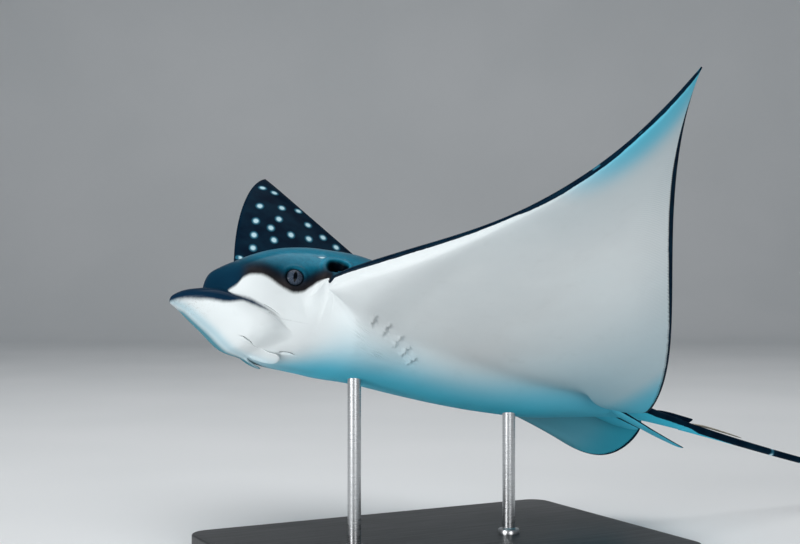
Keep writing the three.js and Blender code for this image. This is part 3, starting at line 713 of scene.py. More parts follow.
# %% Charts for the disc
chart = join(arc * out_s[:, None], foot[:, None] + arc * out_f[:, None])
chart_low, chart_high = chart.reshape(-1, 2).min(0), chart.reshape(-1, 2).max(0)
HALF = chart_high[0]
SCALE = .975 / (2 * (chart_high[1] - chart_low[1]))
GUTTER = .006
COLUMN = 2 * HALF * SCALE + .02


def on_map(sheet, side):
    """The top side's charts fill the lower half of the map, the white side's the upper half."""
    c = chart[sheet]
    x = (HALF + c[..., 0] * side) * SCALE + GUTTER
    y = (c[..., 1] - chart_low[1]) * SCALE + GUTTER + .5 * sheet
    return join(x, y)


print("disc charts take %.2f of the map's width" % COLUMN)

# %% Weld the disc
around = 4 * ACROSS


def loop(values_left, values_right):
    """Top and under halves of both sides, strung into closed loops."""
    (lt, lu), (rt, ru) = values_left, values_right
    return np.concatenate([lt, lu[:, -2::-1], ru[:, 1:-1], rt[:, :0:-1]], axis=1)


def measures_of(side):
    """The plan, edge and line measures of the disc on one side of the body."""
    top = np.broadcast_to(np.array([1., 0.])[:, None, None], rim.shape).copy()
    top[:, :, -1] = .5
    at = join(flat[..., 0], flat[..., 1] * side, flat[..., 2])
    return at, join(rim, along, top), join(crease, crease_shade_weight, tone)


strung = [loop(a, b) for a, b in zip(measures_of(1), measures_of(-1))]
bent = loop(posed(flat, 1), posed(flat, -1))
# Painted shade of the gill slits and the spiracle hollow.
hollow_shade = np.maximum(gill_shade, pit_shade)
skin.add(bent, *strung, loop(hollow_shade, hollow_shade).ravel())
ids, nxt = numbers(len(plan), around)
quads = np.stack([ids[:-1], ids[1:], nxt[1:], nxt[:-1]], -1)
sheets = (on_map(0, 1), on_map(1, 1)[:, ::-1], on_map(1, -1), on_map(0, -1)[:, ::-1])
for k, places in enumerate(sheets):
    skin.add_faces(quads[:, k * ACROSS:(k + 1) * ACROSS], cells(places))
nose = np.array([BILL_TIP, 0, -.0225])
tip = skin.add(place(nose[None]), nose, [.01, 0, .5], [FAR, 0, .01])
caps = np.stack([np.full(around, tip), ids[0], nxt[0]], -1)
skin.add_faces(caps, np.full((around, 6), .5 * COLUMN))
print("disc: %d points, widest %.3f m" % (bent.size // 3, np.ptp(bent[..., 1])))

# %% [markdown]
# ## The tail
# Behind the small fins a ray's tail is a whip, longer than the disc is wide, round in section and
# thinning evenly. A tube of rings follows its middle line. Where it takes over from the disc, each of
# its points picks up nine of the disc's, so the net thins out without a gap.

# %% Carry the skin down the tail
TAIL_TIP = -2.75
TAIL_POWER = 2.4
GROUP = 9
slim = around // GROUP
tail_r = table((-.70, .030), (-.85, .0086), (-.93, .0064), (-1.0, .0056), (-1.15, .0051), (-1.5, .0042),
               (-2.0, .003), (-2.75, .0011))
stations = np.concatenate([np.arange(TAIL_JOIN - .002, -1.2, -.003), np.arange(-1.2, TAIL_TIP, -.008)])
last = np.concatenate([flat[0, -1], flat[1, -1, -2::-1]])
last = np.concatenate([last, last[-2:0:-1] * [1, -1, 1]])[::GROUP]
angle = np.arctan2(last[:, 2], last[:, 1])


def tail_rings(f):
    """The trunk's super-ellipse where the tail starts, round from a tenth of a metre behind."""
    c, s = np.cos(angle), np.sin(angle)
    tall = np.where(s > 0, crown(f), -belly(f))
    oval_r = (np.abs(c / width(f)) ** TAIL_POWER + np.abs(s / tall) ** TAIL_POWER) ** (-1 / TAIL_POWER)
    k = smooth(-f, .86, .95)
    r = oval_r * (1 - k) + tail_r(f) * k
    return r * c, r * s


f = stations[:, None]
across, height = tail_rings(f)
p = join(f, across + tail_l(f), height + tail_u(f))
bare = table((-.86, -.30), (-.872, -.32), (-.900, -.85), (-1.1, -1.1))(f)
top_side = smooth(height / tail_r(f), bare - .10, bare + .10)
base = skin.add(place(p), p, join(.02, way[-1], top_side), join(FAR, 0, .012 * top_side - .006))
tail_ids, t_next = numbers(*across.shape, base)
quads = np.stack([tail_ids[:-1], tail_ids[1:], t_next[1:], t_next[:-1]], -1)
TUBE = .03
u_at = COLUMN + TUBE * np.arange(slim + 1) / slim
v_at = .01 + .97 * (stations - TAIL_TIP) / (TAIL_JOIN - TAIL_TIP)
grid = join(u_at, v_at[:, None])
skin.add_faces(quads, cells(grid))
print("tail: %d rings of %d points" % across.shape)

# %% Join the tail and close its end
wrap = np.append(ids[-1], ids[-1, 0])
picks = np.stack([wrap[i * GROUP:(i + 1) * GROUP + 1] for i in range(slim)])
fans = np.concatenate([picks, t_next[0][:, None], tail_ids[0][:, None]], 1)[:, ::-1]
fans_map = np.zeros((slim, GROUP + 3, 2))
fans_map[:, :, 0] = COLUMN + TUBE * (np.arange(slim)[:, None] / slim)
fans_map[:, 1, 0] += TUBE / slim
fans_map[:, 2:, 0] += TUBE / slim * np.arange(GROUP, -1, -1) / GROUP
fans_map[:, :2, 1] = .98
fans_map[:, 2:, 1] = .983
skin.add_faces(fans, fans_map)
end = skin.add(place(np.array([[TAIL_TIP - .002, tail_l(TAIL_TIP), tail_u(TAIL_TIP)]])),
               [TAIL_TIP, 0, 0], [.02, way[-1], .5], [FAR, 0, .02])
cone = np.stack([tail_ids[-1], np.full(slim, end), t_next[-1]], -1)
skin.add_faces(cone, np.stack([grid[-1, :-1], grid[-1, :-1] - [0, .004], grid[-1, 1:]], 1))
print("points joined to each of the tail's:", GROUP)

# %% [markdown]
# ## Thin shells: nose flap and small fins
# The upper lip of an eagle ray hangs free below the nostrils as a flap with two lobes. Pelvic fins lie
# either side of the tail and one small fin stands on it. Each is a thin shell with two faces that meet
# on a rounded rim, and its root is sunk in the body.

# %% A shell from two faces
SHELF_TALL, SHELF_WIDE = .11, .05
shelf = [COLUMN + TUBE + .01, .01]


def border_of(shape):
    border = np.ones(shape, bool)
    border[1:-1, 1:-1] = False
    return border


def shell(upper, lower, edge_in, tone_up, tone_low, tops):
    """upper, lower: grids of flat points, sewn on the upper one's border. edge_in: distance from the rim."""
    rows, cols = edge_in.shape
    number = None
    for k, (points, side_tone) in enumerate(((upper, tone_up), (lower, tone_low))):
        keep = ~border_of(edge_in.shape) if k else np.ones(edge_in.shape, bool)
        side_tone = np.broadcast_to(side_tone, edge_in.shape)[keep]
        pts = points[keep]
        first = skin.add(place(pts), pts, join(edge_in[keep], 0, tops[k]), join(FAR, 0, side_tone))
        number = number.copy() if k else np.zeros((rows, cols), np.int64)
        number[keep] = first + np.arange(keep.sum())
        u = np.linspace(0, SHELF_WIDE, cols) + shelf[0]
        v = np.linspace(0, SHELF_TALL, rows) + shelf[1]
        shelf[1] += SHELF_TALL + .008
        q, m = cells(number), cells(join(u, v[:, None]))
        skin.add_faces(*((q[..., ::-1], m[:, :, ::-1]) if k else (q, m)))


def under_skin(f, s):
    """The flat point straight below the middle plane, and its outward direction."""
    low, high = np.zeros_like(f), np.full_like(f, .12)
    for _ in range(24):
        mid = (low + high) / 2
        inside = level(f, s, -.02 - mid) < 0
        low, high = np.where(inside, mid, low), np.where(inside, high, mid)
    u = -.02 - low
    h = .0008
    n = np.stack([level(f + h, s, u) - level(f - h, s, u), level(f, s + h, u) - level(f, s - h, u),
                  level(f, s, u + h) - level(f, s, u - h)], -1)
    return join(f, s, u), unit(n)


print("shells start at column %.2f" % shelf[0])

# %% The nose flap
FLAP_ROOT = -.094
flap_half = table((-.094, .0330), (-.1004, .0379), (-.1072, .0422), (-.1159, .0418), (-.1262, .0376),
                  (-.1342, .0372), (-.1402, .0366), (-.1467, .0375), (-.1573, .0412), (-.1625, .0410))
flap_rear = table((0, -.136), (.14, -.1375), (.25, -.1430), (.34, -.1530), (.46, -.1620), (.62, -.1650),
                  (.80, -.1645), (.92, -.1620), (1.0, -.1560))
x = np.linspace(-1, 1, 141)[None, :]
b = np.linspace(0, 1, 71)[:, None]
f = FLAP_ROOT + b * (flap_rear(np.abs(x)) - FLAP_ROOT)
s = np.abs(x) * flap_half(f)
on_skin, n = under_skin(f, s)
n[..., 1] *= np.sign(x)
on_skin[..., 1] *= np.sign(x)
from_side, from_rear = (1 - np.abs(x)) * .05, (1 - b) * .06
side_fall, rear_fall = np.minimum(1, from_side / .0035), np.minimum(1, from_rear / .0030)
thick = np.sqrt(np.clip(1 - (1 - side_fall) ** 2, 0, 1)) * np.sqrt(np.clip(1 - (1 - rear_fall) ** 2, 0, 1))
lobe = smooth(np.abs(x), .05, .40)
SUNK, SLOPE, LOBE_DROP = .0012, .0026, .0034
FLAP_THICK, FLAP_ROUND = .0022, .0010
hang = -SUNK + SLOPE * b + LOBE_DROP * smooth(b, .62, 1) * lobe
outer = on_skin + n * (hang + FLAP_ROUND * (thick - 1))[..., None]
inner_gap = hang - FLAP_THICK * thick * smooth(b, .0, .5) - FLAP_ROUND * (1 - thick)
inner_face = on_skin + n * inner_gap[..., None]
border = border_of(thick.shape)
inner_face[border] = outer[border]
shell(inner_face, outer, np.minimum(from_side, from_rear), -.02, -.02, (0, 0))
print("flap: %d points" % thick.size)

# %% Pelvic fins
def half_turn(count):
    """From -1 to 1, closer at the ends, and the height of a half circle over it."""
    x = np.sin(np.linspace(-np.pi / 2, np.pi / 2, count))[None, :]
    return x, np.sqrt(np.clip(1 - x * x, 0, 1))


def through(stations, steps):
    """Smooth columns through rows of numbers, and the share along them."""
    t = np.linspace(0, 1, steps)[:, None]
    at = np.linspace(0, 1, len(stations))
    return t, [table(*zip(at, column))(t) for column in np.transpose(stations)]


def blade(stations):
    """A lens-shaped blade through stations of f, l, u, half width, half thickness and roll."""
    t, (f, l, u, w, h, roll) = through(stations, 60)
    x, dome = half_turn(41)
    end = np.sqrt(np.clip(1 - smooth(t, .9, 1) ** 2, 0, 1))
    a = w * x * (.15 + .85 * end)
    halves = []
    for b in (h * (dome * end), -h * (dome * end)):
        across, up = a * np.cos(roll) - b * np.sin(roll), a * np.sin(roll) + b * np.cos(roll)
        halves.append(join(f, l + across, u + up))
    rim_in = np.minimum((1 - np.abs(x)) * w, (1 - t) * .1)
    border = border_of(rim_in.shape)
    for side in halves:
        side[border] = ((halves[0] + halves[1]) / 2)[border]
    shell(*halves, rim_in, .05, .0012 - rim_in, (1, 0))


PELVIC_LEFT = [(-.692, .030, -.012, .008, .004, -.2), (-.712, .037, -.022, .015, .0036, -.2),
               (-.735, .043, -.031, .018, .003, -.25), (-.765, .047, -.040, .018, .0022, -.27),
               (-.790, .049, -.046, .015, .0016, -.27), (-.810, .050, -.050, .010, .0012, -.25),
               (-.819, .050, -.051, .004, .0008, -.2)]
PELVIC_RIGHT = [(-.690, -.030, .003, .008, .004, .1), (-.712, -.038, -.001, .015, .0036, .05),
                (-.738, -.045, -.006, .018, .003, 0), (-.765, -.049, -.009, .018, .0022, 0),
                (-.790, -.053, -.0105, .015, .0016, 0), (-.810, -.055, -.011, .010, .0012, 0),
                (-.819, -.055, -.011, .004, .0008, 0)]
blade(PELVIC_LEFT)
blade(PELVIC_RIGHT)
print("pelvic fins reach back to %.0f mm" % (1000 * PELVIC_LEFT[-1][0]))

# %% Dorsal fin
DORSAL = [(.0025, -.796, -.875, .0036), (.0065, -.800, -.879, .0032), (.0095, -.805, -.883, .0026),
          (.0118, -.813, -.886, .0020), (.0136, -.828, -.887, .0014), (.0145, -.846, -.886, .0009)]
t, (u, front, back, half) = through(DORSAL, 40)
x, dome = half_turn(41)
f = (front + back) / 2 + (front - back) / 2 * x
bulge = half * dome * np.sqrt(1 - smooth(t, .85, 1))
middle_l = tail_l(f) * smooth(-f, .70, .85)
rim_in = np.minimum((1 - np.abs(x)) * .03, (1 - t) * .02)
shell(join(f, middle_l - bulge, u), join(f, middle_l + bulge, u), rim_in, .05, .05, (1, 1))
ray_skin = skin.build("ray_skin")
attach(ray_skin, "root")
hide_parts("rostral_lobe", "head", "nasal_curtain", "trunk", "pectoral_fin_left",
            "pectoral_fin_right", "pelvic_fin_left", "pelvic_fin_right", "tail_base", "dorsal_fin",
            "tail_1", "tail_2", "tail_3", "tail_4", "tail_5")
print("skin: %d points, %d faces" % (len(ray_skin.data.vertices), len(ray_skin.data.polygons)))

# %% [markdown]
# ## Eyes
# A ray's eye is a wide, low lens in a ring of dark skin, with a grey iris and a slit that narrows to
# a spindle in daylight. It is a separate ball here, flattened along its own axis so that it fills the
# socket without bulging, and it carries two measures across its face for the iris to be drawn on.

# %% Build both eyes
EYE_WIDE, EYE_DEEP, EYE_SUNK = .0128, .0096, .0070
EYE_ROWS, EYE_SIDES = 79, 128


def outward(p):
    h = .001
    return unit(np.array([level(*(p + h * k)) - level(*(p - h * k)) for k in np.eye(3)]))


def eye_ball(name, side):
    n = outward(EYE)
    up = unit(np.array([0, 0, 1.]) - n * n[2])
    theta = np.linspace(0, np.pi, EYE_ROWS + 2)[1:-1, None]
    phi = np.linspace(0, 2 * np.pi, EYE_SIDES, endpoint=False)[None, :]
    local = join(EYE_WIDE * np.sin(theta) * np.cos(phi), EYE_WIDE * np.sin(theta) * np.sin(phi),
                 EYE_DEEP * np.cos(theta)).reshape(-1, 3)
    local = np.concatenate([local, [[0, 0, EYE_DEEP], [0, 0, -EYE_DEEP]]])
    flat_pts = EYE - n * EYE_SUNK + local @ np.stack([np.cross(up, n), up, n])
    flat_pts[:, 1] *= side
    ids, nx = numbers(EYE_ROWS, EYE_SIDES)
    pole = ids.size
    faces = np.stack([ids[:-1], ids[1:], nx[1:], nx[:-1]], -1).reshape(-1, 4).tolist()
    faces += [[pole, int(i), int(j)] for i, j in zip(ids[0], nx[0])]
    faces += [[pole + 1, int(j), int(i)] for i, j in zip(ids[-1], nx[-1])]
    if side > 0:
        faces = [f[::-1] for f in faces]
    return piece_of(name, place(flat_pts), faces, gaze=local)


eyes = []
for name, side, node in (("eyeball_left", 1, "eye_left"), ("eyeball_right", -1, "eye_right")):
    ball = eye_ball(name, side)
    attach(ball, "root")
    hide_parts(node)
    eyes.append(ball)
print("eye faces the side, normal", np.round(outward(EYE), 2))

# %% [markdown]
# ## Sting
# The sting is a flat bony spine that lies along the tail behind the small fin, with a row of barbs
# down each edge and a shallow groove along its top. It is swept from a section whose edges swing in
# and out like a saw.

# %% Sweep the sting
sting_w = table((-.886, .0026), (-.90, .0031), (-.93, .0030), (-.96, .0024), (-.985, .0014), (-.996, .0003))
sting_h = table((-.886, .0016), (-.90, .0015), (-.93, .0013), (-.96, .0011), (-.985, .0008), (-.996, .0003))
sting_u = table((-.886, .0056), (-.895, .0068), (-.91, .0080), (-.93, .0084), (-.96, .0084), (-.996, .0080))
f = np.linspace(-.886, -.996, 331)[:, None]
a = np.linspace(0, 2 * np.pi, 40, endpoint=False)[None, :]
BARB, BARB_STEP = .0007, .0028
tooth = ((-f - .905) / BARB_STEP) % 1
barb = BARB * tooth * smooth(-f, .904, .912) * (1 - smooth(-f, .988, .995))
w = sting_w(f) + barb * np.abs(np.cos(a)) ** 6 * np.sign(np.cos(a)) ** 2
h = sting_h(f) * (1 - .30 * np.exp(-(np.cos(a) / .22) ** 2) * (np.sin(a) > 0))
p = join(f, tail_l(f) + w * np.cos(a), sting_u(f) + h * np.sin(a))
ids, nx = numbers(*p.shape[:2])
faces = np.stack([ids[:-1], nx[:-1], nx[1:], ids[1:]], -1).reshape(-1, 4).tolist()
faces += [ids[0].tolist(), ids[-1][::-1].tolist()]
sting = piece_of("sting_spine", place(p), faces, plan=p)
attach(sting, "root")
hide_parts("tail_sting")
print("sting: %d faces" % len(faces))

# %% [markdown]
# ## Display stand
# A museum mount is a flat board with steel rods that disappear into the underside of the model. Board
# and rods keep the places the frame gives them and are rebuilt with round corners, a softened edge and
# a small collar at the foot of each rod.

# %% Board
def stack_of(name, rings, sharp):
    """Closes a stack of rings into a solid with flat ends."""
    ids, nx = numbers(*rings.shape[:2])
    faces = np.stack([ids[:-1], nx[:-1], nx[1:], ids[1:]], -1).reshape(-1, 4).tolist()
    faces += [ids[0][::-1].tolist(), ids[-1].tolist()]
    return piece_of(name, rings, faces, sharp)


low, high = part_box("stand_base")
half_x, half_y, thick = (high[0] - low[0]) / 2, (high[1] - low[1]) / 2, high[2] - low[2]
CORNER, ROUND, BEVEL = .030, .0025, .0010
quarter = np.linspace(0, np.pi / 2, 17)
outline = []
for k, (sx, sy) in enumerate(((1, 1), (-1, 1), (-1, -1), (1, -1))):
    for t in quarter + k * np.pi / 2:
        outline.append((sx * (half_x - CORNER), sy * (half_y - CORNER), np.cos(t), np.sin(t)))
x, y, c, s = np.array(outline).T
levels = [(BEVEL, 0), (0, BEVEL)]
for t in np.linspace(0, np.pi / 2, 7):
    levels.append((ROUND * (1 - np.cos(t)), thick - ROUND + ROUND * np.sin(t)))
inset, z = np.array(levels).T[:, :, None]
r = CORNER - inset
board = stack_of("display_board", join(x + r * c, y + r * s, low[2] + z), 40)
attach(board, "root")
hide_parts("stand_base")
print("board %.0f x %.0f x %.0f mm" % (2000 * half_x, 2000 * half_y, 1000 * thick))

# %% Rods with collars
COLLAR = [(.006, 0), (.006, .005), (.0052, .0062), (.0012, .0068), (0, .0080)]
turn = np.linspace(0, 2 * np.pi, 96, endpoint=False)
rods = []
for node in ("stand_rod_front", "stand_rod_rear"):
    lo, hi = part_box(node)
    x, y = (lo[0] + hi[0]) / 2, (lo[1] + hi[1]) / 2
    radius = (hi[0] - lo[0]) / 2
    profile = [(radius, lo[2]), (radius, thick)] + [(radius + wide, thick + up) for wide, up in COLLAR]
    r, z = np.array(profile + [(radius, hi[2])]).T[:, :, None]
    rod = stack_of(node + "_steel", join(x + r * np.cos(turn), y + r * np.sin(turn), z), 35)
    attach(rod, "root")
    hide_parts(node)
    rods.append(rod)
print("rods:", [rod.name for rod in rods])

# %% [markdown]
# ## Arithmetic for finishes
# A finish is arithmetic on numbers that vary over a surface. This class wraps one output of a node so
# that plus, minus, times and divided by build Math nodes, also with a plain number in front, and
# colours and vectors go through the nodes meant for them.

# %% The wire class
class Wire:
    """One output of a node, usable in arithmetic."""

    def __init__(self, tree, socket=None):
        self.tree, self.socket = tree, socket

    def node(self, kind, values, out=0, **settings):
        """A new node with its inputs and settings; gives one of its outputs."""
        made = self.tree.nodes.new("ShaderNode" + kind)
        for key, value in settings.items():
            setattr(made, key, value)
        for key, value in values.items():
            if isinstance(value, Wire):
                self.tree.links.new(value.socket, made.inputs[key])
            else:
                made.inputs[key].default_value = value
        return Wire(self.tree, made.outputs[out])

    def math(self, operation, *others, clamp=False):
        values = dict(enumerate((self,) + others))
        return self.node("Math", values, operation=operation, use_clamp=clamp)

    def __add__(self, other):
        return self.math("ADD", other)

    def __sub__(self, other):
        return self.math("SUBTRACT", other)

    def __mul__(self, other):
        return self.math("MULTIPLY", other)

    def __truediv__(self, other):
        return self.math("DIVIDE", other)

    def __rsub__(self, other):
        return self.node("Math", {0: other, 1: self}, operation="SUBTRACT")

    __radd__ = __add__
    __rmul__ = __mul__

    def least(self, other):
        return self.math("MINIMUM", other)

    def size(self):
        return self.math("ABSOLUTE")

    def ramp(self, low, high, at_low=0., at_high=1.):
        """Eases from one value to another as this wire goes from low to high."""
        return self.node("MapRange", {0: self, 1: low, 2: high, 3: at_low, 4: at_high},
                         interpolation_type="SMOOTHSTEP")

    def vector(self, operation, other, out=0):
        return self.node("VectorMath", {0: self, 1: other}, out, operation=operation)

    def distance(self, point):
        return self.vector("DISTANCE", point, 1)

    def parts(self):
        split = self.node("SeparateXYZ", {0: self})
        return [Wire(self.tree, o) for o in split.socket.node.outputs]

    def paint(self, under, over):
        """The colour under, with over laid on it where this wire is one."""
        return self.node("Mix", {0: self, 6: rgb(under), 7: rgb(over)}, 2, data_type="RGBA")

    def noise(self, scale, detail=3., rough=.5):
        return self.node("TexNoise", {"Vector": self, "Scale": scale, "Detail": detail, "Roughness": rough},
                         noise_dimensions="3D")


print("operators that take a plain number in front:", [k for k in vars(Wire) if k.startswith("__r")])

# %% Start a finish
def rgb(colour):
    return colour if isinstance(colour, Wire) else (*colour, 1)


def finish(name, **fixed_values):
    """A new material: its first wire, its shader and itself."""
    material = bpy.data.materials.new(name)
    material.use_nodes = True
    shader = material.node_tree.nodes["Principled BSDF"]
    for key, value in fixed_values.items():
        shader.inputs[key.replace("_", " ")].default_value = value
    return Wire(material.node_tree), shader, material


def feed(shader, **wires):
    for key, wire in wires.items():
        wire.tree.links.new(wire.socket, shader.inputs[key.replace("_", " ")])


def measure(start, name):
    return start.node("Attribute", {}, 1, attribute_name=name)


print("helpers for finishes:", finish.__name__, feed.__name__, measure.__name__)

# %% [markdown]
# ## The ray's skin
# An eagle ray is slate black above with pale spots, and white below. Skin is wet and smooth, with a
# fine grain, wrinkles before the gills and thin cartilage rays that show through the hem of the wings.
# All of it is drawn in the coordinates of the flat body, so it bends with the wings.

# %% Measures and noise
wet, wet_shader, skin_finish = finish("ray_skin_finish", IOR=1.38, Coat_Roughness=.16, Coat_IOR=1.34,
                                      Specular_IOR_Level=.01)
plan_v = measure(wet, "plan")
f_at, l_at, u_at = plan_v.parts()
rim_at, way_at, top_at = measure(wet, "edge").parts()
crease_at, crease_shade, tone_at = measure(wet, "line").parts()
sea_light_at, shade_at, hollow_shade_at = measure(wet, "painted_light").parts()
s_at = l_at.size()
cloud = plan_v.noise(9, 3)
patch = plan_v.noise(38, 4, .55)
fine = plan_v.noise(160, 3, .6)
grain = plan_v.noise(900, 2, .6)
TURN = 6.2832
print("nodes so far:", len(wet.tree.nodes))

# %% White side
CHALK, MILK, GREY = (.72, .765, .775), (.77, .81, .815), (.66, .70, .70)
# The sea tint is painted blue light from the water and the shadow tint is painted shade on the white skin.
SEA_LIGHT, SHADOW, CARTILAGE, PORE = (.022, .60, .84), (.16, .30, .36), (.42, .50, .54), (.30, .27, .25)
RAY_GAP = .0030
ray_line = ((way_at + (patch - .5) * .004) * (TURN / RAY_GAP)).math("SINE").ramp(.1, 1)
near_hem = rim_at.ramp(.008, .060, 1, 0) * s_at.ramp(.10, .16) * f_at.ramp(-.43, -.47)
# Painted shade, blue with sea light, on the far rear lobe and on the far side of the chin.
far_lobe_shade = l_at.ramp(-.03, -.11) * f_at.ramp(-.50, -.60)
chin_shade = l_at.ramp(-.004, -.028) * f_at.ramp(-.025, -.05) * f_at.ramp(-.21, -.14)
pores = plan_v.noise(420, 2, .6).ramp(.52, .66) * f_at.ramp(-.075, -.030) * (patch * 1.2).ramp(.3, .7)
white = cloud.ramp(.35, .7).paint(CHALK, MILK)
for cover, tint in ((ray_line * near_hem * .40, CARTILAGE),
                    (patch.ramp(.56, .76, 0, .30), GREY),
                    ((sea_light_at + (cloud - .5) * .10).math("MAXIMUM", 0., clamp=True), SEA_LIGHT),
                    (shade_at, SHADOW),
                    (far_lobe_shade * .80, (.014, .26, .36)),
                    (chin_shade * .95, (.014, .20, .27)),
                    (pores * .45, PORE)):
    white = cover.paint(white, tint)
print("nodes for the white side:", len(wet.tree.nodes))

# %% Dark side
# The crease colour is painted shade for the floors of the furrows.
SLATE, SLATE_PALE, CREASE_SHADE = (.0015, .008, .020), (.003, .017, .034), (.010, .018, .024)
SOOT, SOOT_PALE = (.012, .012, .014), (.030, .026, .026)
# The crown's teal is mostly a painted reflection of blue water over the skin's own blue-black, stronger
# higher up.
CROWN_SHEEN, CROWN_SHEEN_PALE, CROWN_SHEEN_DEEP = (.006, .150, .240), (.014, .235, .360), (.003, .070, .130)
on_crown = f_at.ramp(-.34, -.20) * u_at.ramp(.010, .060) * tone_at.ramp(.006, .030)
on_mask = f_at.ramp(-.205, -.19) * tone_at.ramp(.003, .024, 1, 0) * f_at.ramp(-.080, -.095, 0, 1)
on_bill = f_at.ramp(-.130, -.120) * u_at.ramp(-.004, -.012, 0, 1)
crown_sheen = cloud.ramp(.3, .7).paint(CROWN_SHEEN, CROWN_SHEEN_PALE)
crown_sheen = (fine * .6 + grain * .4).ramp(.42, .60, 0, .25).paint(crown_sheen, CROWN_SHEEN_DEEP)
dark = patch.ramp(.3, .7).paint(SLATE, SLATE_PALE)
for cover, tint in ((on_crown, crown_sheen),
                    (f_at.ramp(-.115, -.075) * .8, (.004, .030, .062)),
                    (on_mask, patch.ramp(.3, .7).paint(SOOT, SOOT_PALE)),
                    (on_bill, (.004, .022, .050))):
    dark = cover.paint(dark, tint)
print("nodes with the dark side:", len(wet.tree.nodes))

# %% Spots
SPOTS = [(-.4067, .6394), (-.4214, .6318), (-.3856, .5851), (-.4192, .5891), (-.4455, .5936),
         (-.3671, .5491), (-.4044, .5587), (-.3842, .536), (-.4485, .5587), (-.3523, .5184),
         (-.3785, .5101), (-.4103, .5259), (-.4366, .5239), (-.4629, .5351), (-.3395, .4909),
         (-.4768, .5183)]
SPOT, HALO, SPOT_STEP = (.50, .72, .80), (.03, .16, .24), .040
ALONG, CROSS, LONGER = .83, .56, 1.6
slanted = wet.node("CombineXYZ", {0: f_at * ALONG - l_at * CROSS,
                                  1: (f_at * CROSS + l_at * ALONG) / LONGER, 2: 0.})
hand = [slanted.distance((f * ALONG + s * CROSS, (f * CROSS - s * ALONG) / LONGER, 0)) for f, s in SPOTS]
gap = hand[0]
for other in hand[1:]:
    gap = gap.least(other)
level_plan = wet.node("CombineXYZ", {0: f_at, 1: l_at, 2: 0.})
strewn = wet.node("TexVoronoi", {"Vector": level_plan, "Scale": 1 / SPOT_STEP, "Randomness": .72},
                  voronoi_dimensions="2D") * SPOT_STEP
free = level_plan.distance((-.41, -.56, 0)).ramp(.115, .125)
strewn = strewn + (1 - free) + f_at.ramp(-.30, -.26)
gap = gap.least(strewn) + (fine - .5) * .0012
slender = plan_v.vector("MULTIPLY", (.5, 1, 1.5))
crown_gap = slender.distance((-.0904, .0777, .0890)).least(slender.distance((-.118, .0884, .0968)))
gap = gap.least(crown_gap + .0012)
dark = (gap.ramp(.0042, .0066, .8, 0) * top_at).paint(dark, HALO)
dark = (gap.ramp(.0020, .0046, 1, 0) * rim_at.ramp(.004, .008) * top_at).paint(dark, SPOT)
print("spots drawn: %d placed by hand" % len(SPOTS))

# %% Put the two sides together
on_face = f_at.ramp(-.19, -.17)
hair = plan_v.vector("MULTIPLY", (260, 120, 90)).noise(1, 3, .6)
ragged = (patch - .5) * .0024 + (fine - .5) * .0012 + (hair - .5) * on_face * .0016
ragged = ragged + (ray_line - .5) * near_hem * .0030
low, high = on_face.ramp(0, 1, -.0005, -.0030), on_face.ramp(0, 1, .0007, .0034)
is_dark = (tone_at + ragged).ramp(low, high)
colour = is_dark.paint(white, dark)
# Painted shade: a dark line along the floor of the nostril, mouth and cheek furrows.
colour = (crease_at.size().ramp(.55, 1.0, 1, 0) * crease_shade).paint(colour, CREASE_SHADE)
# Painted shade in the gill slits and the spiracle hollow: grey on the white side, near black on the dark
# side.
hollow_shade_tint = is_dark.paint((.20, .26, .29), (.001, .003, .006))
colour = (hollow_shade_at * is_dark.ramp(0, 1, .40, 1.)).paint(colour, hollow_shade_tint)
feed(wet_shader, Base_Color=colour, Roughness=is_dark.ramp(0, 1, .50, .34) + (fine - .5) * .12,
     Coat_Weight=(on_crown * .35 + on_bill * .15) * (1 - hollow_shade_at))
print("nodes with both sides:", len(wet.tree.nodes))

# %% Bumps of the skin
WRINKLE_FRONT, WRINKLE_GAP = -.243, .0040
bumps = grain * .00006 + fine * .00015 + ray_line * near_hem * (1 - top_at * .6) * .00035
for start, s0, bend, rear, inward in ((-.243, .1283, 8., -.268, -.013), (-.245, .109, 4., -.306, -.024)):
    back = start - f_at
    off = s_at - (s0 - back * back * bend)
    window = off.ramp(inward, inward + .005) * off.ramp(.001, .006, 1, 0)
    window = window * f_at.ramp(rear, rear + .014) * f_at.ramp(WRINKLE_FRONT, -.225, 1, 0)
    wave = (off * (TURN / WRINKLE_GAP) + patch * 9. + cloud * 8.).math("SINE")
    bumps = bumps + wave * window * patch.ramp(.42, .62, .1, 1) * .0006
feed(wet_shader, Normal=wet.node("Bump", {"Height": bumps, "Distance": 1., "Strength": .6}))
ray_skin.data.materials.append(skin_finish)
print("skin finish: %d nodes" % len(wet.tree.nodes))

# %% Eye finish
look, look_shader, eye_finish = finish("eye_finish", IOR=1.40, Coat_Roughness=.03, Specular_IOR_Level=.12)
IRIS, IRIS_PALE, IRIS_RIM = (.024, .036, .056), (.080, .102, .140), (.010, .018, .030)
RING, PUPIL = (.004, .009, .014), (.001, .002, .004)
gx, gy = measure(look, "gaze").parts()[:2]
radius = (gx * gx + gy * gy).math("SQRT")
turn = gy.math("ARCTAN2", gx)
streaks = look.node("CombineXYZ", {0: turn * 2.2, 1: radius * 60, 2: 0.}).noise(2.4, 4, .6)
slit = (gx / .0023).size() - (1 - (gy / .0076) * (gy / .0076))
iris = streaks.ramp(.3, .75).paint(IRIS, IRIS_PALE)
for cover, tint in ((radius.ramp(.0078, .0104, 0, .8), IRIS_RIM), (radius.ramp(.0099, .0108), RING),
                    (slit.ramp(-.05, .25, 1, 0), PUPIL)):
    iris = cover.paint(iris, tint)
feed(look_shader, Base_Color=iris, Roughness=radius.ramp(.0098, .0112, .12, .3) + (streaks - .5) * .02)
for ball in eyes:
    ball.data.materials.append(eye_finish)
print("eye finish: %d nodes" % len(look.tree.nodes))

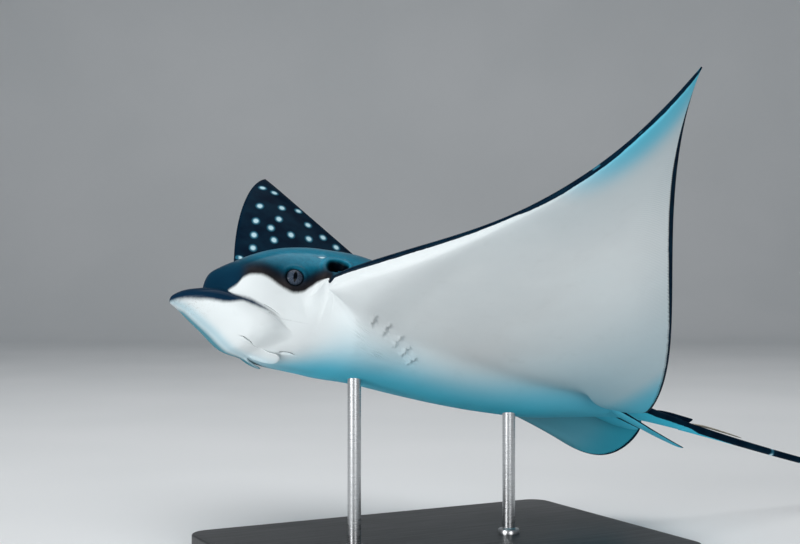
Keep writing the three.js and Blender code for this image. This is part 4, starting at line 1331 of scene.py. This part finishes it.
# %% Sting, board and rods
def plain_finish(name, start, pattern, tints, rough, tint_at=(.3, .7), rough_at=(.2, .8), **fixed_values):
    """A finish of two tints and two roughnesses that follow one pattern."""
    tree, shader, material = finish(name, **fixed_values)
    made = pattern(start(tree))
    feed(shader, Base_Color=made.ramp(*tint_at).paint(*tints), Roughness=made.ramp(*rough_at, *rough))
    return made, shader, material


def on_tail(tree):
    return measure(tree, "plan")


def in_room(tree):
    return tree.node("TexCoord", {}, 3)


def stretched(scale, *settings):
    """A noise pattern with its own scale along each axis."""
    return lambda at: at.vector("MULTIPLY", scale).noise(1, *settings)


bone_finish = plain_finish("sting_finish", on_tail, stretched((60, 900, 900), 3),
                           tints=((.30, .27, .21), (.52, .49, .40)), rough=(.42, .6))[2]
pore, coat_shader, board_finish = plain_finish(
    "board_finish", in_room, stretched((9, 160, 160), 4, .6),
    tints=((.020, .021, .023), (.032, .033, .035)), rough=(.34, .46))
feed(coat_shader, Normal=pore.node("Bump", {"Height": pore, "Distance": .0003, "Strength": .5}))
rod_finish = plain_finish("rod_finish", in_room, stretched((30, 30, 900), 2),
                          tints=((.50, .51, .52), (.56, .57, .58)), rough=(.26, .32),
                          tint_at=(.2, .8), Metallic=1.)[2]
sting.data.materials.append(bone_finish)
board.data.materials.append(board_finish)
for rod in rods:
    rod.data.materials.append(rod_finish)
print("finishes of the sting and the stand: 3")

# %% [markdown]
# ## Studio
# A pale floor that sweeps up behind, one large soft light over the viewer's left shoulder, a weaker
# one from the right and a broad one above. The lens is long and the camera stands low and level, so
# the ray is seen as a diver would see it pass.

# %% Floor sweep
RUN, SWEEP_R, WALL, HALF_FLOOR = 5.5, 1.6, 9., 14.
a = np.linspace(0, np.pi / 2, 33)
path = [(RUN + SWEEP_R * np.sin(t), SWEEP_R * (1 - np.cos(t))) for t in a]
path = [(-WALL, 0.)] + path + [(RUN + SWEEP_R, WALL)]
view, side = np.array([.4651, .8852]), np.array([.8852, -.4651])
pts = [[*(view * d + side * w), z] for d, z in path for w in (-HALF_FLOOR, HALF_FLOOR)]
faces = [[2 * i, 2 * i + 1, 2 * i + 3, 2 * i + 2] for i in range(len(path) - 1)]
floor = piece_of("floor_sweep", pts, faces)
floor_finish = plain_finish("floor_finish", in_room, lambda at: at.noise(1.2, 2),
                            tints=((.80, .82, .83), (.84, .855, .865)), rough=(.75, .85),
                            rough_at=(.3, .7))[2]
floor.data.materials.append(floor_finish)
print("floor %.0f m wide" % (2 * HALF_FLOOR))

# %% Lights
def softbox(name, at, aim, size, power):
    lamp = bpy.data.lights.new(name, "AREA")
    lamp.shape = "DISK"
    lamp.size = size
    lamp.energy = power
    thing = bpy.data.objects.new(name, lamp)
    thing.location = at
    thing.rotation_euler = (Vector(aim) - Vector(at)).to_track_quat("-Z", "Y").to_euler()
    thing.visible_camera = False
    bpy.context.collection.objects.link(thing)


softbox("key", at=(-3.8, -1.0, 1.0), aim=(0, 0, .30), size=1.8, power=100)
softbox("fill", at=(-.6, -4.5, .60), aim=(.1, 0, .30), size=2.2, power=52)
softbox("top", at=(.4, .6, 4.2), aim=(0, 0, .3), size=4.0, power=105)
world = bpy.data.worlds.new("studio")
world.use_nodes = True
sky = world.node_tree.nodes["Background"].inputs
sky[0].default_value = (.86, .93, 1.0, 1)
sky[1].default_value = .17
bpy.context.scene.world = world
bpy.context.scene.view_settings.view_transform = "Standard"
print("lamps:", len(bpy.data.lights))

# %% Camera
SENSOR = 36
FRAME_WIDE, FOCAL = 800, 1316.27
camera_data = bpy.data.cameras.new("camera")
camera_data.lens = SENSOR * FOCAL / FRAME_WIDE
camera_data.sensor_width = SENSOR
camera = bpy.data.objects.new("camera", camera_data)
bpy.context.collection.objects.link(camera)
right, down, ahead = np.array([[-.8537, .5052, .1260], [-.2644, -.2122, -.9408],
                               [-.4486, -.8365, .3147]]) @ axes
turned = Matrix(np.stack([right, -down, -ahead], 1).tolist())
camera.matrix_world = turned.normalized().to_4x4()
camera.location = place(np.array([.4808, 1.5242, -.4721]))
bpy.context.scene.camera = camera
print("camera at", [round(v, 3) for v in camera.location])

# %% [markdown]
